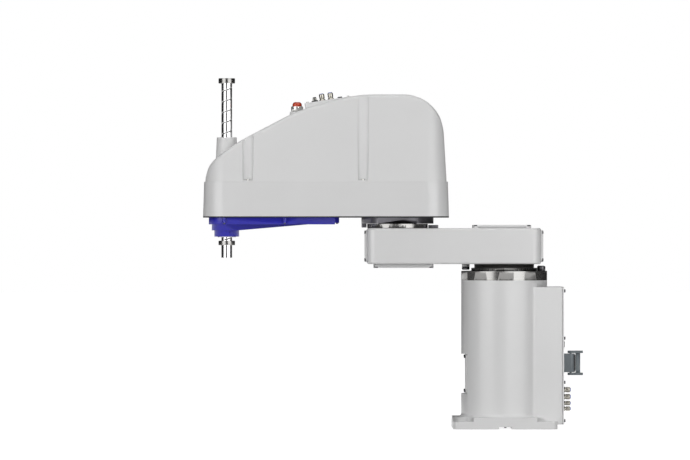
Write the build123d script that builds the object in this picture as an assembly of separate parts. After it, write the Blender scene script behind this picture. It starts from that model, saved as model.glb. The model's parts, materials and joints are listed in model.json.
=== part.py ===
from build123d import *
import os
from math import acos, atan2, cos, degrees, hypot, pi, radians, sin, tan

# A four-axis SCARA arm. +X points forward along the stretched arm, +Y to the arm's left, +Z up.
# The origin is on the first joint's axis, in the plane of the foot. All sizes are in millimetres.

# Reach and heights
arm1_reach = 250.0  # joint 1 axis to joint 2 axis
arm2_reach = 400.0  # joint 2 axis to the tool shaft
column_h = 346.0  # painted column, from the foot's underside
arm1_h = 84.0
pan_h = 83.5  # open tray that forms the outer arm's frame
hood_h = 203.5  # moulded hood above the tray
run_gap = 0.5  # axial gap under each turning flange
fit_gap = 0.05  # radial gap of a running or located fit
seat_gap = 0.1  # gap round a screw shank

# Base casting
foot_bolt_pitch = 200.0
foot_end_edge = 21.5  # from a bolt row to the foot's end
foot_side_edge = 20.0
foot_h = 27.0
foot_corner_r = 14.0
pad_h = 18.0  # height of the spot-faced corner pads
pad_size = 62.0
pad_corner_r = 26.0
foot_hole_r = 6.75
foot_slot_w = 30.0
foot_slot_h = 5.5
column_r = 100.5
column_wall = 9.0
column_floor = 12.0
column_blend = 9.0
land_r = 78.0  # bore of the land under the first reducer
land_h = 30.0
box_past_foot = 13.3  # how far the connector box stands out behind the foot
box_half_w = 75.0
box_low = 10.0
box_drop = 15.5  # the box's top, below the column's
box_wall = 8.0
box_edge_r = 4.0
box_blend = 14.0
recess_x = 88.0  # flat recess on the front of the column
recess_low = 81.0
recess_high = 174.0
recess_pad = 8.0  # metal behind the recess
window_w = 52.0
window_h = 60.0

# Plates on the base
front_plate_t = 3.0
front_plate_w = 78.0
front_plate_h = 91.0
front_screw_pitch_y = 58.0
front_screw_pitch_z = 80.0
rear_plate_t = 3.0
rear_screw_y = 70.5
rear_screw_z = (19.0, 108.5, 211.4, 321.6)

# First reducer and its stops
j1_ring_h = 22.0
j1_body_r = 77.5
j1_body_h = 48.0
j1_bore_r = 60.0
j1_screw_count = 10
j1_screw_circle = 89.0
j1_cable_r = 20.0
j1_flange_r = 77.0
j1_flange_h = 6.5
j1_hub_r = 70.0
j1_hub_h = 9.0
j1_bolt_count = 8
j1_bolt_circle = 48.0
stop_circle = 90.0
stop_head_r = 9.0
stop_head_h = 12.0
stop_shank_r = 6.0
stop_spread = 15.0  # degrees each side of the rear, for the two fixed stops
moving_stop_boss = 6.0
moving_stop_h = 7.5
motor1_size = 90.0
motor1_h = 120.0
motor1_cap_h = 32.0

# Inner arm
arm1_back = 85.0  # flat rear end, behind joint 1
arm1_front = 72.0  # flat front end, ahead of joint 2
arm1_half_w = 80.0
arm1_corner_r = 22.0
arm1_edge_r = 5.0
arm1_wall = 8.0
arm1_floor = 12.0
arm1_roof = 10.0
top_cover_t = 7.5
cover_seat = 3.0  # depth of the corner pockets for the screws
cover_w = 110.0
cover_corner_r = 12.0
top_cover_len = 136.0
top_cover_x = 6.0
low_cover_len = 140.0
low_cover_t = 9.0
low_cover_shift = -14.0  # from joint 2 towards joint 1
cover_lip = 13.0  # overlap of a cover round its opening
cap_t = 5.0
cap_w = 112.0
cap_h = 74.0
cap_corner_r = 8.0
cap_lip = 11.0

# Second reducer and its stops
j2_ring_h = 10.0
j2_ring_r = 71.0
j2_body_r = 58.0
j2_body_h = 52.0
j2_bore_r = 45.0
j2_screw_circle = 64.5
j2_screw_count = 8
j2_flange_h = 14.5
j2_flange_r = 84.5
j2_notch_half = 45.0
j2_notch_y = 62.0
j2_cable_r = 15.0
j2_stem_h = 20.0  # hub of the output flange inside the ring
j2_bolt_circle = 55.0
j2_bolt_count = 6
j2_stop_inner = 72.5
j2_stop_outer = 95.4
j2_stop_half_w = 17.0
j2_stop_h = 7.5
j2_lug_outer = 84.0
j2_lug_half_w = 16.0
j2_lug_gap = 1.4  # above the inner arm
motor2_size = 84.0
motor2_h = 135.0
motor2_cap_h = 30.0

# Outer arm frame
nose_r = 55.6  # round front end of the tray, about the tool shaft
pan_back = 120.0  # tray's rear face, behind joint 2
pan_rear_r = 50.0
pan_rear_half = 92.0
pan_draft = 1.7
pan_wall = 6.0
pan_floor = 10.0
pan_edge_r = 3.0
boss_r = 8.0
rib_t = 5.0
rib_h = 18.0

# Hood
hood_inset = 5.5
hood_draft = 3.3
hood_wall = 3.0
hood_rear_r = 95.0
hood_nose_h = 34.9  # where the upright nose turns into the slope
hood_slope = ((-13.3, 86.3), (-167.8, 166.9))  # corners of the slope, from the tool shaft and the tray
hood_crest_x = 98.4  # front end of the flat top, ahead of joint 2
hood_radii = (68.0, 420.0, 370.0, 320.0)
chimney_h = 104.0  # top of the shaft sleeve above the tray
chimney_top_r = 23.3
chimney_low_r = 27.6
chimney_bore_r = 20.8
flute_foot = 3.0
flute_low_r = 12.0
flute_top_r = 19.0
flute_front = 50.0  # front pair of flutes, behind the tool shaft
flute_rear = 81.0  # rear pair, ahead of joint 2
flute_out = 2.0  # flute axis outside the hood's lower edge
lamp_back = 165.0  # behind the tool shaft
lamp_seat = 164.0  # above the tray
lamp_boss_r = 17.5
lamp_boss_deep = 45.0
lamp_stem_r = 8.0
lamp_base_r = 14.0
lamp_base_h = 12.5
lamp_lens_r = 11.2
lamp_lens_h = 10.5
lamp_lip = 3.0  # depth of the lens's seat

# Connector panel on the hood, in its own tilted plane
panel_ahead = 163.0  # ahead of joint 2
panel_drop = 14.0  # below the hood's top
panel_tilt = 8.5
panel_len = 110.0
panel_wid = 92.0
panel_t = 2.0
panel_edge = 6.0
panel_screw_x = 48.0
panel_screw_y = 39.0
hump_depth = 26.0
hump_rim = 10.0  # width of the rim that carries the plate
button_x = -29.0
button_y = 12.0
button_r = 5.5
button_h = 3.4
button_travel = 2.0

# Tool shaft and its nuts
shaft_r = 12.5
shaft_bore_r = 9.0
shaft_below = 95.0  # lower end, under the tray
shaft_above = 39.0  # upper end, over the hood
spline_count = 3
spline_w = 3.0
spline_depth = 1.5
shaft_end = 42.0  # plain round end below the grooves
ring_r = 19.3
ring_h = 12.0
low_ring_h = 10.5
low_ring_up = 30.0  # lower ring, above the shaft's lower end
ring_groove_w = 2.0  # turned groove in the shaft under the lower ring
ring_groove_depth = 0.5
ring_slit = 2.0
nut_r = 20.7
nut_race_r = 28.9
spline_nut_below = 46.3  # lower face, under the tray
support_r = 36.0
support_flange_r = 44.0
support_h = 19.0
support_flange_h = 6.0
ball_support_h = 28.0
ball_nut_h = 58.0

# Belt drives
belt_pitch = 5.0
belt_w = 9.0
belt_t = 2.4
belt_gap = 0.35
tooth_depth = 1.6
pulley_flange = 1.0
spline_teeth = 40
turn_motor_teeth = 16
turn_motor_back = 230.0  # from the tool shaft
lift_nut_teeth = 36
lift_motor_teeth = 24
lift_belt_up = 59.0  # above the tray's underside
lift_motor_back = 112.0
motor3_size = 58.0
motor3_h = 60.0
motor3_brake_h = 16.0
motor3_cap_h = 16.0
motor4_size = 58.0
motor4_h = 92.0
motor4_cap_h = 20.0
bridge_t = 6.0
bridge_len = 76.0
bridge_leg_t = 5.0
bridge_half_w = 42.0
bridge_foot_w = 16.0
pilot_r = 18.0
motor_shaft_r = 6.0
turn_pilot_r = 12.0

# Belt cover under the outer arm
tray_h = 16.3
tray_r = 42.0
tray_end_ahead = 146.5  # rear end, ahead of joint 2
tray_close_len = 85.5  # length over which the sides close in
tray_end_half = 33.0
tray_wall = 2.5
keel_r = 35.0
keel_h = 14.0
keel_flat_back = 27.0
keel_short = 63.5  # keel's rear end, ahead of the tray's
spout_r = 29.0
spout_h = 14.7
spout_bore_r = 21.5
tab_len = 10.0
tab_half = 20.0
tab_h = 12.7
ear_h = 12.5  # screw ears on the sides of the belt cover
ear_r = 4.4
ear_out = 3.2  # ear centre, out from the tray's side
ear_front = 5.0
ear_ahead = 117.1  # rear ears, ahead of the tray's rear end
belt_screw_len = 20.0

# Rear connectors and fittings
plug_z = 152.3
plug_h = 43.6
plug_half_w = 10.2
plug_wall = 3.2
plug_depth = 16.0
plug_stem_w = 6.5  # half sizes of the body that passes through the rear plate
plug_stem_h = 17.0
insert_t = 3.0
lever_pivot_out = 17.8
lever_arm_t = 5.7
lever_arm_half = 7.0
lever_front_out = 10.6
lever_back_out = 46.6
lever_gap = 1.2
lever_web_in = 29.3
lever_web_out = 40.4
lever_web_half = 4.0
fit_z = (90.4, 73.9, 58.9, 46.1)
fit_y = 34.0
fit_big_r = 6.3
fit_small_r = 5.1
fit_len = 15.5
fit_lip = 1.8  # wall round the release ring
fit_stem_r = 4.0
rear_sockets = ((-38.0, 214.0, 5.0, 19.0), (-38.0, 178.0, 5.0, 14.0), (38.0, 196.0, 8.0, 7.0))
socket_proud = 2.6

# Levels and stations that follow from the sizes above
j2_x = arm1_reach
tool_x = arm1_reach + arm2_reach
ring_top = column_h + j1_ring_h
arm1_low = ring_top + run_gap + j1_flange_h + j1_hub_h
arm1_top = arm1_low + arm1_h
j2_ring_top = arm1_top + j2_ring_h
j2_flange_low = j2_ring_top + run_gap
pan_low = j2_flange_low + j2_flange_h
floor_top = pan_low + pan_floor
pan_top = pan_low + pan_h
hood_top = pan_top + hood_h
foot_len = foot_bolt_pitch + 2 * foot_end_edge
foot_wid = foot_bolt_pitch + 2 * foot_side_edge
box_back = foot_len / 2 + box_past_foot
rear_face = -(box_back + rear_plate_t)
pan_rear_x = j2_x - pan_back + pan_rear_r
support_top = pan_low + support_h
ball_support_top = support_top + ball_support_h
lift_belt_z = pan_low + lift_belt_up
turn_belt_z = pan_low - (tray_h - tray_wall) / 2 - belt_w / 2
bridge_low = lift_belt_z + belt_w + 4.0
box_high = column_h - box_drop
flute_x = (tool_x - flute_front, j2_x + flute_rear)
lamp_x = tool_x - lamp_back
panel_x = j2_x + panel_ahead
panel_z = hood_top - panel_drop
shaft_low = pan_low - shaft_below
shaft_high = hood_top + shaft_above
low_ring_z = shaft_low + low_ring_up
spline_nut_low = pan_low - spline_nut_below
tray_end_back = arm2_reach - tray_end_ahead
tray_kink_back = tray_end_back - tray_close_len
keel_end_back = tray_end_back - keel_short
ear_back = tray_end_back - ear_ahead
lift_motor_x = tool_x - lift_motor_back
turn_motor_x = tool_x - turn_motor_back
PANEL = Location((panel_x, 0, panel_z), (0, panel_tilt, 0))


def tube(outer, inner, low, high, x=0.0, y=0.0):
    """A round sleeve between two heights, or a round bar where inner is 0."""
    bar = Pos(x, y, (low + high) / 2) * Cylinder(outer, high - low)
    if not inner:
        return bar
    return bar - Pos(x, y, (low + high) / 2) * Cylinder(inner, high - low + 2)


def block(x0, x1, y0, y1, z0, z1):
    """A box between two corners."""
    middle = Pos((x0 + x1) / 2, (y0 + y1) / 2, (z0 + z1) / 2)
    return middle * Box(abs(x1 - x0), abs(y1 - y0), abs(z1 - z0))


def slab(length, width, corner, low, high, x=0.0, y=0.0):
    """A plate lying flat, with round corners."""
    return extrude(Pos(x, y, low) * RectangleRounded(length, width, corner), amount=high - low)


def upright_slab(width, height, corner, x0, x1, z):
    """A plate standing across X, with round corners."""
    across = Plane(origin=(x0, 0, z), x_dir=(0, 1, 0), z_dir=(1, 0, 0))
    return extrude(across * RectangleRounded(width, height, corner), amount=x1 - x0)


def circle_points(radius, count, first=0.0):
    """Points spread evenly round a circle."""
    angles = [radians(first + 360 * i / count) for i in range(count)]
    return [(radius * cos(a), radius * sin(a)) for a in angles]


def corners(pitch_x, pitch_y):
    """The four corners of a rectangle."""
    return [(sx * pitch_x / 2, sy * pitch_y / 2) for sx in (-1, 1) for sy in (-1, 1)]


def group(pieces):
    """Separate solids that share a node."""
    return Compound(children=[solid for piece in pieces for solid in piece.solids()])


def screw(shank_r, head_r, head_h, length):
    """A screw with its head standing on the XY plane and its shank below."""
    head = Pos(0, 0, head_h / 2) * Cylinder(head_r, head_h)
    head = chamfer(head.edges().sort_by(Axis.Z)[-1], head_h * 0.2)
    return head + Pos(0, 0, -length / 2) * Cylinder(shank_r, length)


def shank_hole(shank_r, length):
    """The hole that takes a screw's shank, a little longer than the shank."""
    return Pos(0, 0, -(length + 1) / 2) * Cylinder(shank_r + seat_gap, length + 1)


def tangent_points(a, ra, b, rb):
    """Where the line that touches two circles on their +Y side meets them."""
    dx, dy = b[0] - a[0], b[1] - a[1]
    turn = atan2(dy, dx) - acos((ra - rb) / hypot(dx, dy))
    nx, ny = cos(turn), sin(turn)
    if ny < 0:
        turn = atan2(dy, dx) + acos((ra - rb) / hypot(dx, dy))
        nx, ny = cos(turn), sin(turn)
    return (a[0] + ra * nx, a[1] + ra * ny), (b[0] + rb * nx, b[1] + rb * ny), degrees(atan2(ny, nx))


def arc(centre, radius, start, end):
    """An arc between two angles, in degrees."""
    spots = [radians(start), radians((start + end) / 2), radians(end)]
    points = [(centre[0] + radius * cos(t), centre[1] + radius * sin(t)) for t in spots]
    return ThreePointArc(*points)


def pan_outline(inset):
    """The outer arm seen from above: a round nose, closing sides and a rounded back."""
    front, back = (tool_x, 0.0), (pan_rear_x, pan_rear_half - pan_rear_r)
    rf, rb = nose_r - inset, pan_rear_r - inset
    p, q, lean = tangent_points(front, rf, back, rb)
    left = [arc(back, rb, lean, 180), Line(q, p)]
    mirrored = [arc((back[0], -back[1]), rb, -180, -lean), Line((q[0], -q[1]), (p[0], -p[1]))]
    tail = Line((back[0] - rb, back[1]), (back[0] - rb, -back[1]))
    return make_face(left + mirrored + [tail, arc(front, rf, -lean, lean)])


def side_y(x, inset):
    """Half the width of that outline at a station along its straight side."""
    front, back = (tool_x, 0.0), (pan_rear_x, pan_rear_half - pan_rear_r)
    p, q, _ = tangent_points(front, nose_r - inset, back, pan_rear_r - inset)
    return q[1] + (p[1] - q[1]) * (x - q[0]) / (p[0] - q[0])


def wrap(near_r, far_r, reach):
    """The outline of a band round two circles, the far one reach behind the near one."""
    p, q, lean = tangent_points((0.0, 0.0), near_r, (-reach, 0.0), far_r)
    sides = [Line(p, q), Line((p[0], -p[1]), (q[0], -q[1]))]
    ends = [arc((0, 0), near_r, -lean, lean), arc((-reach, 0), far_r, lean, 360 - lean)]
    return make_face(sides + ends)


def pulley_radius(teeth):
    return teeth * belt_pitch / (2 * pi)


def pulley(teeth, bore):
    """A toothed belt pulley standing on the XY plane, with a flange at each end."""
    tip = pulley_radius(teeth)
    gap = Pos(tip, 0) * Rectangle(2 * tooth_depth, belt_pitch * 0.45)
    rim = Circle(tip) - PolarLocations(0, teeth) * gap
    body = extrude(rim, amount=belt_w)
    for low in (-pulley_flange, belt_w):
        body += Pos(0, 0, low + pulley_flange / 2) * Cylinder(tip + belt_gap, pulley_flange)
    return body - Pos(0, 0, belt_w / 2) * Cylinder(bore, belt_w + 4)


def belt(near_teeth, far_teeth, reach):
    """A closed belt round two pulleys, standing on the XY plane."""
    near_r = pulley_radius(near_teeth) + belt_gap
    far_r = pulley_radius(far_teeth) + belt_gap
    band = wrap(near_r + belt_t, far_r + belt_t, reach) - wrap(near_r, far_r, reach)
    return extrude(band, amount=belt_w)


def servo(size, body_h, cap_h, pilot_r, pilot_h, shaft_r, shaft_len):
    """A square servo motor standing on its flange, with a pilot and a shaft that point down."""
    body = extrude(RectangleRounded(size, size, size * 0.12), amount=body_h)
    body += extrude(RectangleRounded(size * 1.06, size * 1.06, size * 0.08), amount=size * 0.12)
    if cap_h:
        cap = RectangleRounded(size * 0.86, size * 0.86, size * 0.2)
        body += extrude(Pos(0, 0, body_h) * cap, amount=cap_h)
    if pilot_h:
        body += Pos(0, 0, -pilot_h / 2) * Cylinder(pilot_r, pilot_h)
    if shaft_len:
        body += Pos(0, 0, -shaft_len / 2) * Cylinder(shaft_r, shaft_len)
    return body


# Fasteners: shank radius, head radius, head height, shank length
M3_SMALL = (1.5, 2.75, 2.4, 7.0)
M4_PAN = (2.0, 3.75, 3.4, 8.0)
M4_CAP = (2.0, 3.6, 3.0, 9.0)
M6_SUNK = (3.0, 5.0, 6.0, 32.0)
M8_CAP = (4.0, 6.5, 8.0, 20.0)
M6_CAP = (3.0, 5.0, 6.0, 18.0)
screw_sink = 7.0  # depth of the counterbore that hides the ring screws
ring_screw_len = 12.0


def foot_corners():
    return corners(foot_bolt_pitch, foot_bolt_pitch)


def front_plate_z():
    return (recess_low + recess_high) / 2


def front_screw_spots():
    spots = corners(front_screw_pitch_y, front_screw_pitch_z)
    face = recess_x + front_plate_t
    return [Location((face, y, front_plate_z() + z), (0, 90, 0)) for y, z in spots]


def rear_screw_spots():
    spots = [(side * rear_screw_y, z) for side in (-1, 1) for z in rear_screw_z]
    return [Location((rear_face, y, z), (0, -90, 0)) for y, z in spots]


def j1_screw_spots():
    ring = circle_points(j1_screw_circle, j1_screw_count)
    return [Pos(x, y, ring_top - screw_sink) for x, y in ring]


def fixed_stop_spots():
    turn = [radians(180 - stop_spread), radians(180 + stop_spread)]
    return [Pos(stop_circle * cos(t), stop_circle * sin(t), ring_top) for t in turn]


def base_casting():
    foot = slab(foot_len, foot_wid, foot_corner_r, 0, foot_h)
    body = foot + tube(column_r, 0, 0, column_h)
    seam = body.edges().filter_by(GeomType.CIRCLE).filter_by(lambda e: abs(e.center().Z - foot_h) < 0.1)
    body = fillet([e for e in seam if abs(e.radius - column_r) < 0.1], column_blend)
    for x, y in foot_corners():
        reach = foot_bolt_pitch / 2 - pad_corner_r + pad_size
        spot = Pos(x / abs(x) * reach, y / abs(y) * reach, pad_h)
        body -= spot * extrude(RectangleRounded(2 * pad_size, 2 * pad_size, pad_corner_r), amount=2 * foot_h)
        body -= Pos(x, y, pad_h / 2) * Cylinder(foot_hole_r, pad_h + 2)
    plan = Circle(column_r) + Pos(-box_back / 2, 0) * Rectangle(box_back, 2 * box_half_w)
    ends = plan.vertices().filter_by(lambda v: v.X < 0)
    plan = fillet([v for v in ends if v.X > -column_r], box_blend)
    plan = fillet(plan.vertices().group_by(Axis.X)[0], box_edge_r)
    body += extrude(Pos(0, 0, box_low) * plan, amount=box_high - box_low)
    inner_r = column_r - column_wall
    hollow = tube(inner_r, 0, column_floor, column_h - land_h)
    pad_z = (recess_low - recess_pad, recess_high + recess_pad)
    hollow -= block(recess_x - recess_pad, column_r, -column_r, column_r, *pad_z)
    hollow += tube(land_r, 0, column_h - land_h - 1, column_h + 1)
    inner_w = box_half_w - box_wall
    low, high = box_low + box_wall, box_high - box_wall
    hollow += block(-box_back - 1, -inner_r * 0.5, -inner_w, inner_w, low, high)
    body -= hollow
    body -= block(recess_x, column_r + 1, -column_r, column_r, recess_low, recess_high)
    body -= upright_slab(window_w, window_h, 8, recess_x - 2 * recess_pad, recess_x + 1, front_plate_z())
    body -= block(-foot_slot_w / 2, foot_slot_w / 2, -foot_wid, foot_wid, -1, foot_slot_h)
    holes = [spot * shank_hole(M4_PAN[0], M4_PAN[3]) for spot in front_screw_spots()]
    holes += [spot * shank_hole(M4_PAN[0], M4_PAN[3]) for spot in rear_screw_spots()]
    holes += [spot * shank_hole(M6_SUNK[0], M6_SUNK[3]) for spot in j1_screw_spots()]
    holes += [spot * shank_hole(stop_shank_r, j1_ring_h + 12) for spot in fixed_stop_spots()]
    holes.append(ground_screw_spot() * shank_hole(M3_SMALL[0], M3_SMALL[3]))
    return body - holes


def base_front_cover():
    face = recess_x + front_plate_t
    plate = upright_slab(front_plate_w, front_plate_h, 4, recess_x, face, front_plate_z())
    return plate - [spot * shank_hole(M4_PAN[0], M4_PAN[3]) for spot in front_screw_spots()]


def connector_cutouts():
    """Openings in the rear plate, slightly larger than the bodies that pass through them."""
    half_w, half_h = plug_stem_w + seat_gap, plug_stem_h + seat_gap
    cuts = [block(rear_face - 1, -box_back + 1, -half_w, half_w, plug_z - half_h, plug_z + half_h)]
    for y, z, half_w, half_h, _ in socket_places():
        cuts.append(block(rear_face - 1, -box_back + 1, y - half_w, y + half_w, z - half_h, z + half_h))
    for z, _ in fitting_rows():
        through = Cylinder(fit_stem_r + seat_gap, 3 * rear_plate_t)
        cuts.append(Pos(rear_face, fit_y, z) * Rot(0, 90, 0) * through)
    return cuts


def base_rear_panel():
    plate = block(rear_face, -box_back, -box_half_w, box_half_w, box_low, box_high)
    plate = fillet(plate.edges().filter_by(Axis.X), box_edge_r)
    plate -= [spot * shank_hole(M4_PAN[0], M4_PAN[3]) for spot in rear_screw_spots()]
    return plate - connector_cutouts()


def base_cover_screws():
    spots = front_screw_spots() + rear_screw_spots()
    return group([spot * screw(*M4_PAN) for spot in spots])


def ground_screw_spot():
    return Location((0, foot_wid / 2 - 9.0, foot_slot_h), (180, 0, 0))


def base_ground_screw():
    return ground_screw_spot() * screw(*M3_SMALL)


def j1_reducer_housing():
    ring = tube(column_r, 0, column_h, ring_top)
    ring = chamfer(ring.edges().sort_by(Axis.Z)[-1], 0.8)
    ring += tube(j1_body_r, 0, column_h - j1_body_h, column_h + 1)
    ring -= tube(j1_bore_r + fit_gap, 0, column_h - j1_body_h + 10, ring_top + 1)
    ring -= tube(j1_cable_r, 0, column_h - j1_body_h - 1, column_h)
    for spot in j1_screw_spots():
        ring -= spot * Pos(0, 0, screw_sink / 2 + 1) * Cylinder(M6_SUNK[1] + 0.5, screw_sink + 2)
        ring -= spot * shank_hole(M6_SUNK[0], M6_SUNK[3])
    return ring - [spot * shank_hole(stop_shank_r, j1_ring_h + 12) for spot in fixed_stop_spots()]


def j1_housing_screws():
    return group([spot * screw(*M6_SUNK) for spot in j1_screw_spots()])


def j1_fixed_stops():
    bolt = screw(stop_shank_r, stop_head_r, stop_head_h, j1_ring_h + 10)
    return group([spot * bolt for spot in fixed_stop_spots()])


def j1_motor():
    low = column_h - j1_body_h - motor1_h - motor1_cap_h
    motor = servo(motor1_size, motor1_h, motor1_cap_h, 0, 0, 0, 0)
    return Pos(0, 0, low + motor1_h + motor1_cap_h) * Rot(180, 0, 0) * motor


def j1_output_flange():
    low = ring_top + run_gap
    body = tube(j1_flange_r, 0, low, low + j1_flange_h)
    body += tube(j1_hub_r, 0, low, arm1_low)
    body += tube(j1_bore_r, 0, ring_top - j1_ring_h, low + 1)
    body -= tube(j1_cable_r, 0, column_h - 1, arm1_low + 1)
    return body - [spot * shank_hole(M8_CAP[0], M8_CAP[3]) for spot in j1_bolt_spots()]


def j1_bolt_spots():
    return [Pos(x, y, arm1_low + arm1_floor) for x, y in circle_points(j1_bolt_circle, j1_bolt_count)]


def j1_output_screws():
    return group([spot * screw(*M8_CAP) for spot in j1_bolt_spots()])


def moving_stop_spot():
    return Location((stop_circle, 0, arm1_low - moving_stop_boss), (180, 0, 0))


def j1_moving_stop():
    return moving_stop_spot() * screw(stop_shank_r, stop_head_r, moving_stop_h, moving_stop_boss + 7)


def arm1_middle():
    return (j2_x + arm1_front - arm1_back) / 2


def arm1_length():
    return j2_x + arm1_front + arm1_back


def low_cover_x():
    return j2_x + low_cover_shift


def cover_screw_spots():
    spots = []
    for x, length, z, turn in (
        (top_cover_x, top_cover_len, arm1_top + top_cover_t - cover_seat, 0),
        (low_cover_x(), low_cover_len, arm1_low - low_cover_t + cover_seat, 180),
    ):
        for dx, dy in corners(length - 12, cover_w - 12):
            spots.append(Location((x + dx, dy, z), (turn, 0, 0)))
    return spots


def cap_screw_spots():
    spots = []
    for x, turn in ((j2_x + arm1_front + cap_t - 2.5, 90), (-arm1_back - cap_t + 2.5, -90)):
        for dy, dz in corners(cap_w - 11, cap_h - 11):
            spots.append(Location((x, dy, (arm1_low + arm1_top) / 2 + dz), (0, turn, 0)))
    return spots


def arm1_casting():
    body = slab(arm1_length(), 2 * arm1_half_w, arm1_corner_r, arm1_low, arm1_top, arm1_middle())
    rims = body.edges().group_by(Axis.Z)
    body = fillet(rims[0] + rims[-1], arm1_edge_r)
    inner_len = arm1_length() - 2 * arm1_wall
    inner_w = 2 * (arm1_half_w - arm1_wall)
    floor_z, roof_z = arm1_low + arm1_floor, arm1_top - arm1_roof
    body -= slab(inner_len, inner_w, arm1_corner_r - arm1_wall, floor_z, roof_z, arm1_middle())
    body += tube(stop_head_r, 0, arm1_low - moving_stop_boss, arm1_low + 2, stop_circle)
    opening_w = cover_w - 2 * cover_lip
    body -= slab(top_cover_len - 2 * cover_lip, opening_w, 10, roof_z - 1, arm1_top + 1, top_cover_x)
    body -= slab(low_cover_len - 2 * cover_lip, opening_w, 10, arm1_low - 1, floor_z + 1, low_cover_x())
    middle_z = (arm1_low + arm1_top) / 2
    for x in (-arm1_back, j2_x + arm1_front - arm1_wall):
        body -= upright_slab(cap_w - 4 * cap_lip, cap_h - 3 * cap_lip, 6, x - 1, x + arm1_wall + 1, middle_z)
    body -= tube(j2_body_r + fit_gap, 0, arm1_top - arm1_roof - 1, arm1_top + 1, j2_x)
    body -= tube(j1_cable_r, 0, arm1_low - 1, arm1_low + arm1_floor + 1)
    holes = [spot * shank_hole(M8_CAP[0], M8_CAP[3]) for spot in j1_bolt_spots()]
    holes += [spot * shank_hole(M4_CAP[0], M4_CAP[3]) for spot in cover_screw_spots() + cap_screw_spots()]
    holes += [spot * shank_hole(M6_CAP[0], M6_CAP[3]) for spot in j2_screw_spots()]
    holes += [spot * shank_hole(M6_CAP[0], 6) for spot in fixed_block_spots()]
    holes.append(moving_stop_spot() * shank_hole(stop_shank_r, moving_stop_boss + 7))
    return body - holes


def cover_plate(length, x, low, high, lip_z):
    """A cover plate with a pocket at each corner for its screw."""
    plate = slab(length, cover_w, cover_corner_r, low, high, x)
    rim = plate.edges().group_by(Axis.Z)[-1 if lip_z > low else 0]
    plate = fillet(rim, 1.5)
    spots = [s for s in cover_screw_spots() if abs(s.position.Z - lip_z) < 0.01]
    for spot in spots:
        plate -= spot * Pos(0, 0, cover_seat) * Cylinder(M4_CAP[1] + 3.0, 2 * cover_seat)
        plate -= spot * shank_hole(M4_CAP[0], M4_CAP[3])
    return plate


def arm1_top_cover():
    top = arm1_top + top_cover_t
    return cover_plate(top_cover_len, top_cover_x, arm1_top, top, top - cover_seat)


def arm1_bottom_cover():
    low = arm1_low - low_cover_t
    return cover_plate(low_cover_len, low_cover_x(), low, arm1_low, low + cover_seat)


def arm1_end_caps():
    middle_z = (arm1_low + arm1_top) / 2
    front = j2_x + arm1_front
    caps = [
        upright_slab(cap_w, cap_h, cap_corner_r, front, front + cap_t, middle_z),
        upright_slab(cap_w, cap_h, cap_corner_r, -arm1_back - cap_t, -arm1_back, middle_z),
    ]
    tools = []
    for spot in cap_screw_spots():
        tools.append(spot * Pos(0, 0, cap_t / 2) * Cylinder(M4_CAP[1] + 2.4, cap_t))
        tools.append(spot * shank_hole(M4_CAP[0], M4_CAP[3]))
    return group([cap - tools for cap in caps])


def arm1_cover_screws():
    return group([spot * screw(*M4_CAP) for spot in cover_screw_spots() + cap_screw_spots()])


def j2_screw_spots():
    ring = circle_points(j2_screw_circle, j2_screw_count, 180 / j2_screw_count)
    return [Pos(j2_x + x, y, j2_ring_top - screw_sink) for x, y in ring]


def j2_reducer_housing():
    ring = tube(j2_ring_r, 0, arm1_top, j2_ring_top, j2_x)
    ring += tube(j2_body_r, 0, arm1_top - j2_body_h, arm1_top + 1, j2_x)
    ring -= tube(j2_bore_r + fit_gap, 0, arm1_top - j2_body_h + 10, j2_ring_top + 1, j2_x)
    ring -= tube(j2_cable_r, 0, arm1_top - j2_body_h - 1, arm1_top, j2_x)
    for spot in j2_screw_spots():
        ring -= spot * Pos(0, 0, screw_sink / 2 + 1) * Cylinder(M6_CAP[1] + 0.5, screw_sink + 2)
        ring -= spot * shank_hole(M6_CAP[0], M6_CAP[3])
    return ring


def j2_housing_screws():
    return group([spot * screw(*M6_CAP[:3], ring_screw_len) for spot in j2_screw_spots()])


def fixed_block_spots():
    middle = j2_x - (j2_stop_inner + j2_stop_outer) / 2
    return [Pos(middle, side * j2_stop_half_w * 0.5, arm1_top + j2_stop_h - 4) for side in (-1, 1)]


def j2_fixed_stop():
    top = arm1_top + j2_stop_h
    lump = block(j2_x - j2_stop_outer, j2_x - j2_stop_inner, -j2_stop_half_w, j2_stop_half_w, arm1_top, top)
    lump = fillet(lump.edges().filter_by(Axis.Z), 3)
    for spot in fixed_block_spots():
        lump -= spot * Pos(0, 0, 3) * Cylinder(M6_CAP[1] + 0.5, 6)
        lump -= spot * shank_hole(M6_CAP[0], 6)
    pins = [spot * screw(M6_CAP[0], M6_CAP[1], 3.4, 6) for spot in fixed_block_spots()]
    return group([lump] + pins)


def j2_bolt_spots():
    return [Pos(j2_x + x, y, floor_top) for x, y in circle_points(j2_bolt_circle, j2_bolt_count, 30)]


def j2_output_flange():
    body = tube(j2_flange_r, 0, j2_flange_low, pan_low, j2_x)
    flats = Rectangle(2 * j2_notch_half, 4 * j2_flange_r) - Rectangle(2 * j2_notch_half, 2 * j2_notch_y)
    body -= extrude(Pos(j2_x, 0, j2_flange_low) * flats, amount=j2_flange_h)
    body += tube(j2_bore_r, 0, j2_ring_top - j2_stem_h, j2_flange_low + 1, j2_x)
    body -= tube(j2_cable_r, 0, j2_ring_top - j2_stem_h - 1, pan_low + 1, j2_x)
    return body - [spot * shank_hole(M6_CAP[0], M6_CAP[3]) for spot in j2_bolt_spots()]


def j2_output_screws():
    return group([spot * screw(*M6_CAP) for spot in j2_bolt_spots()])


def j2_moving_stop():
    lug = block(
        j2_x + j2_stop_inner,
        j2_x + j2_lug_outer,
        -j2_lug_half_w,
        j2_lug_half_w,
        arm1_top + j2_lug_gap,
        j2_flange_low,
    )
    return fillet(lug.edges().filter_by(Axis.Z), 3)


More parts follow.
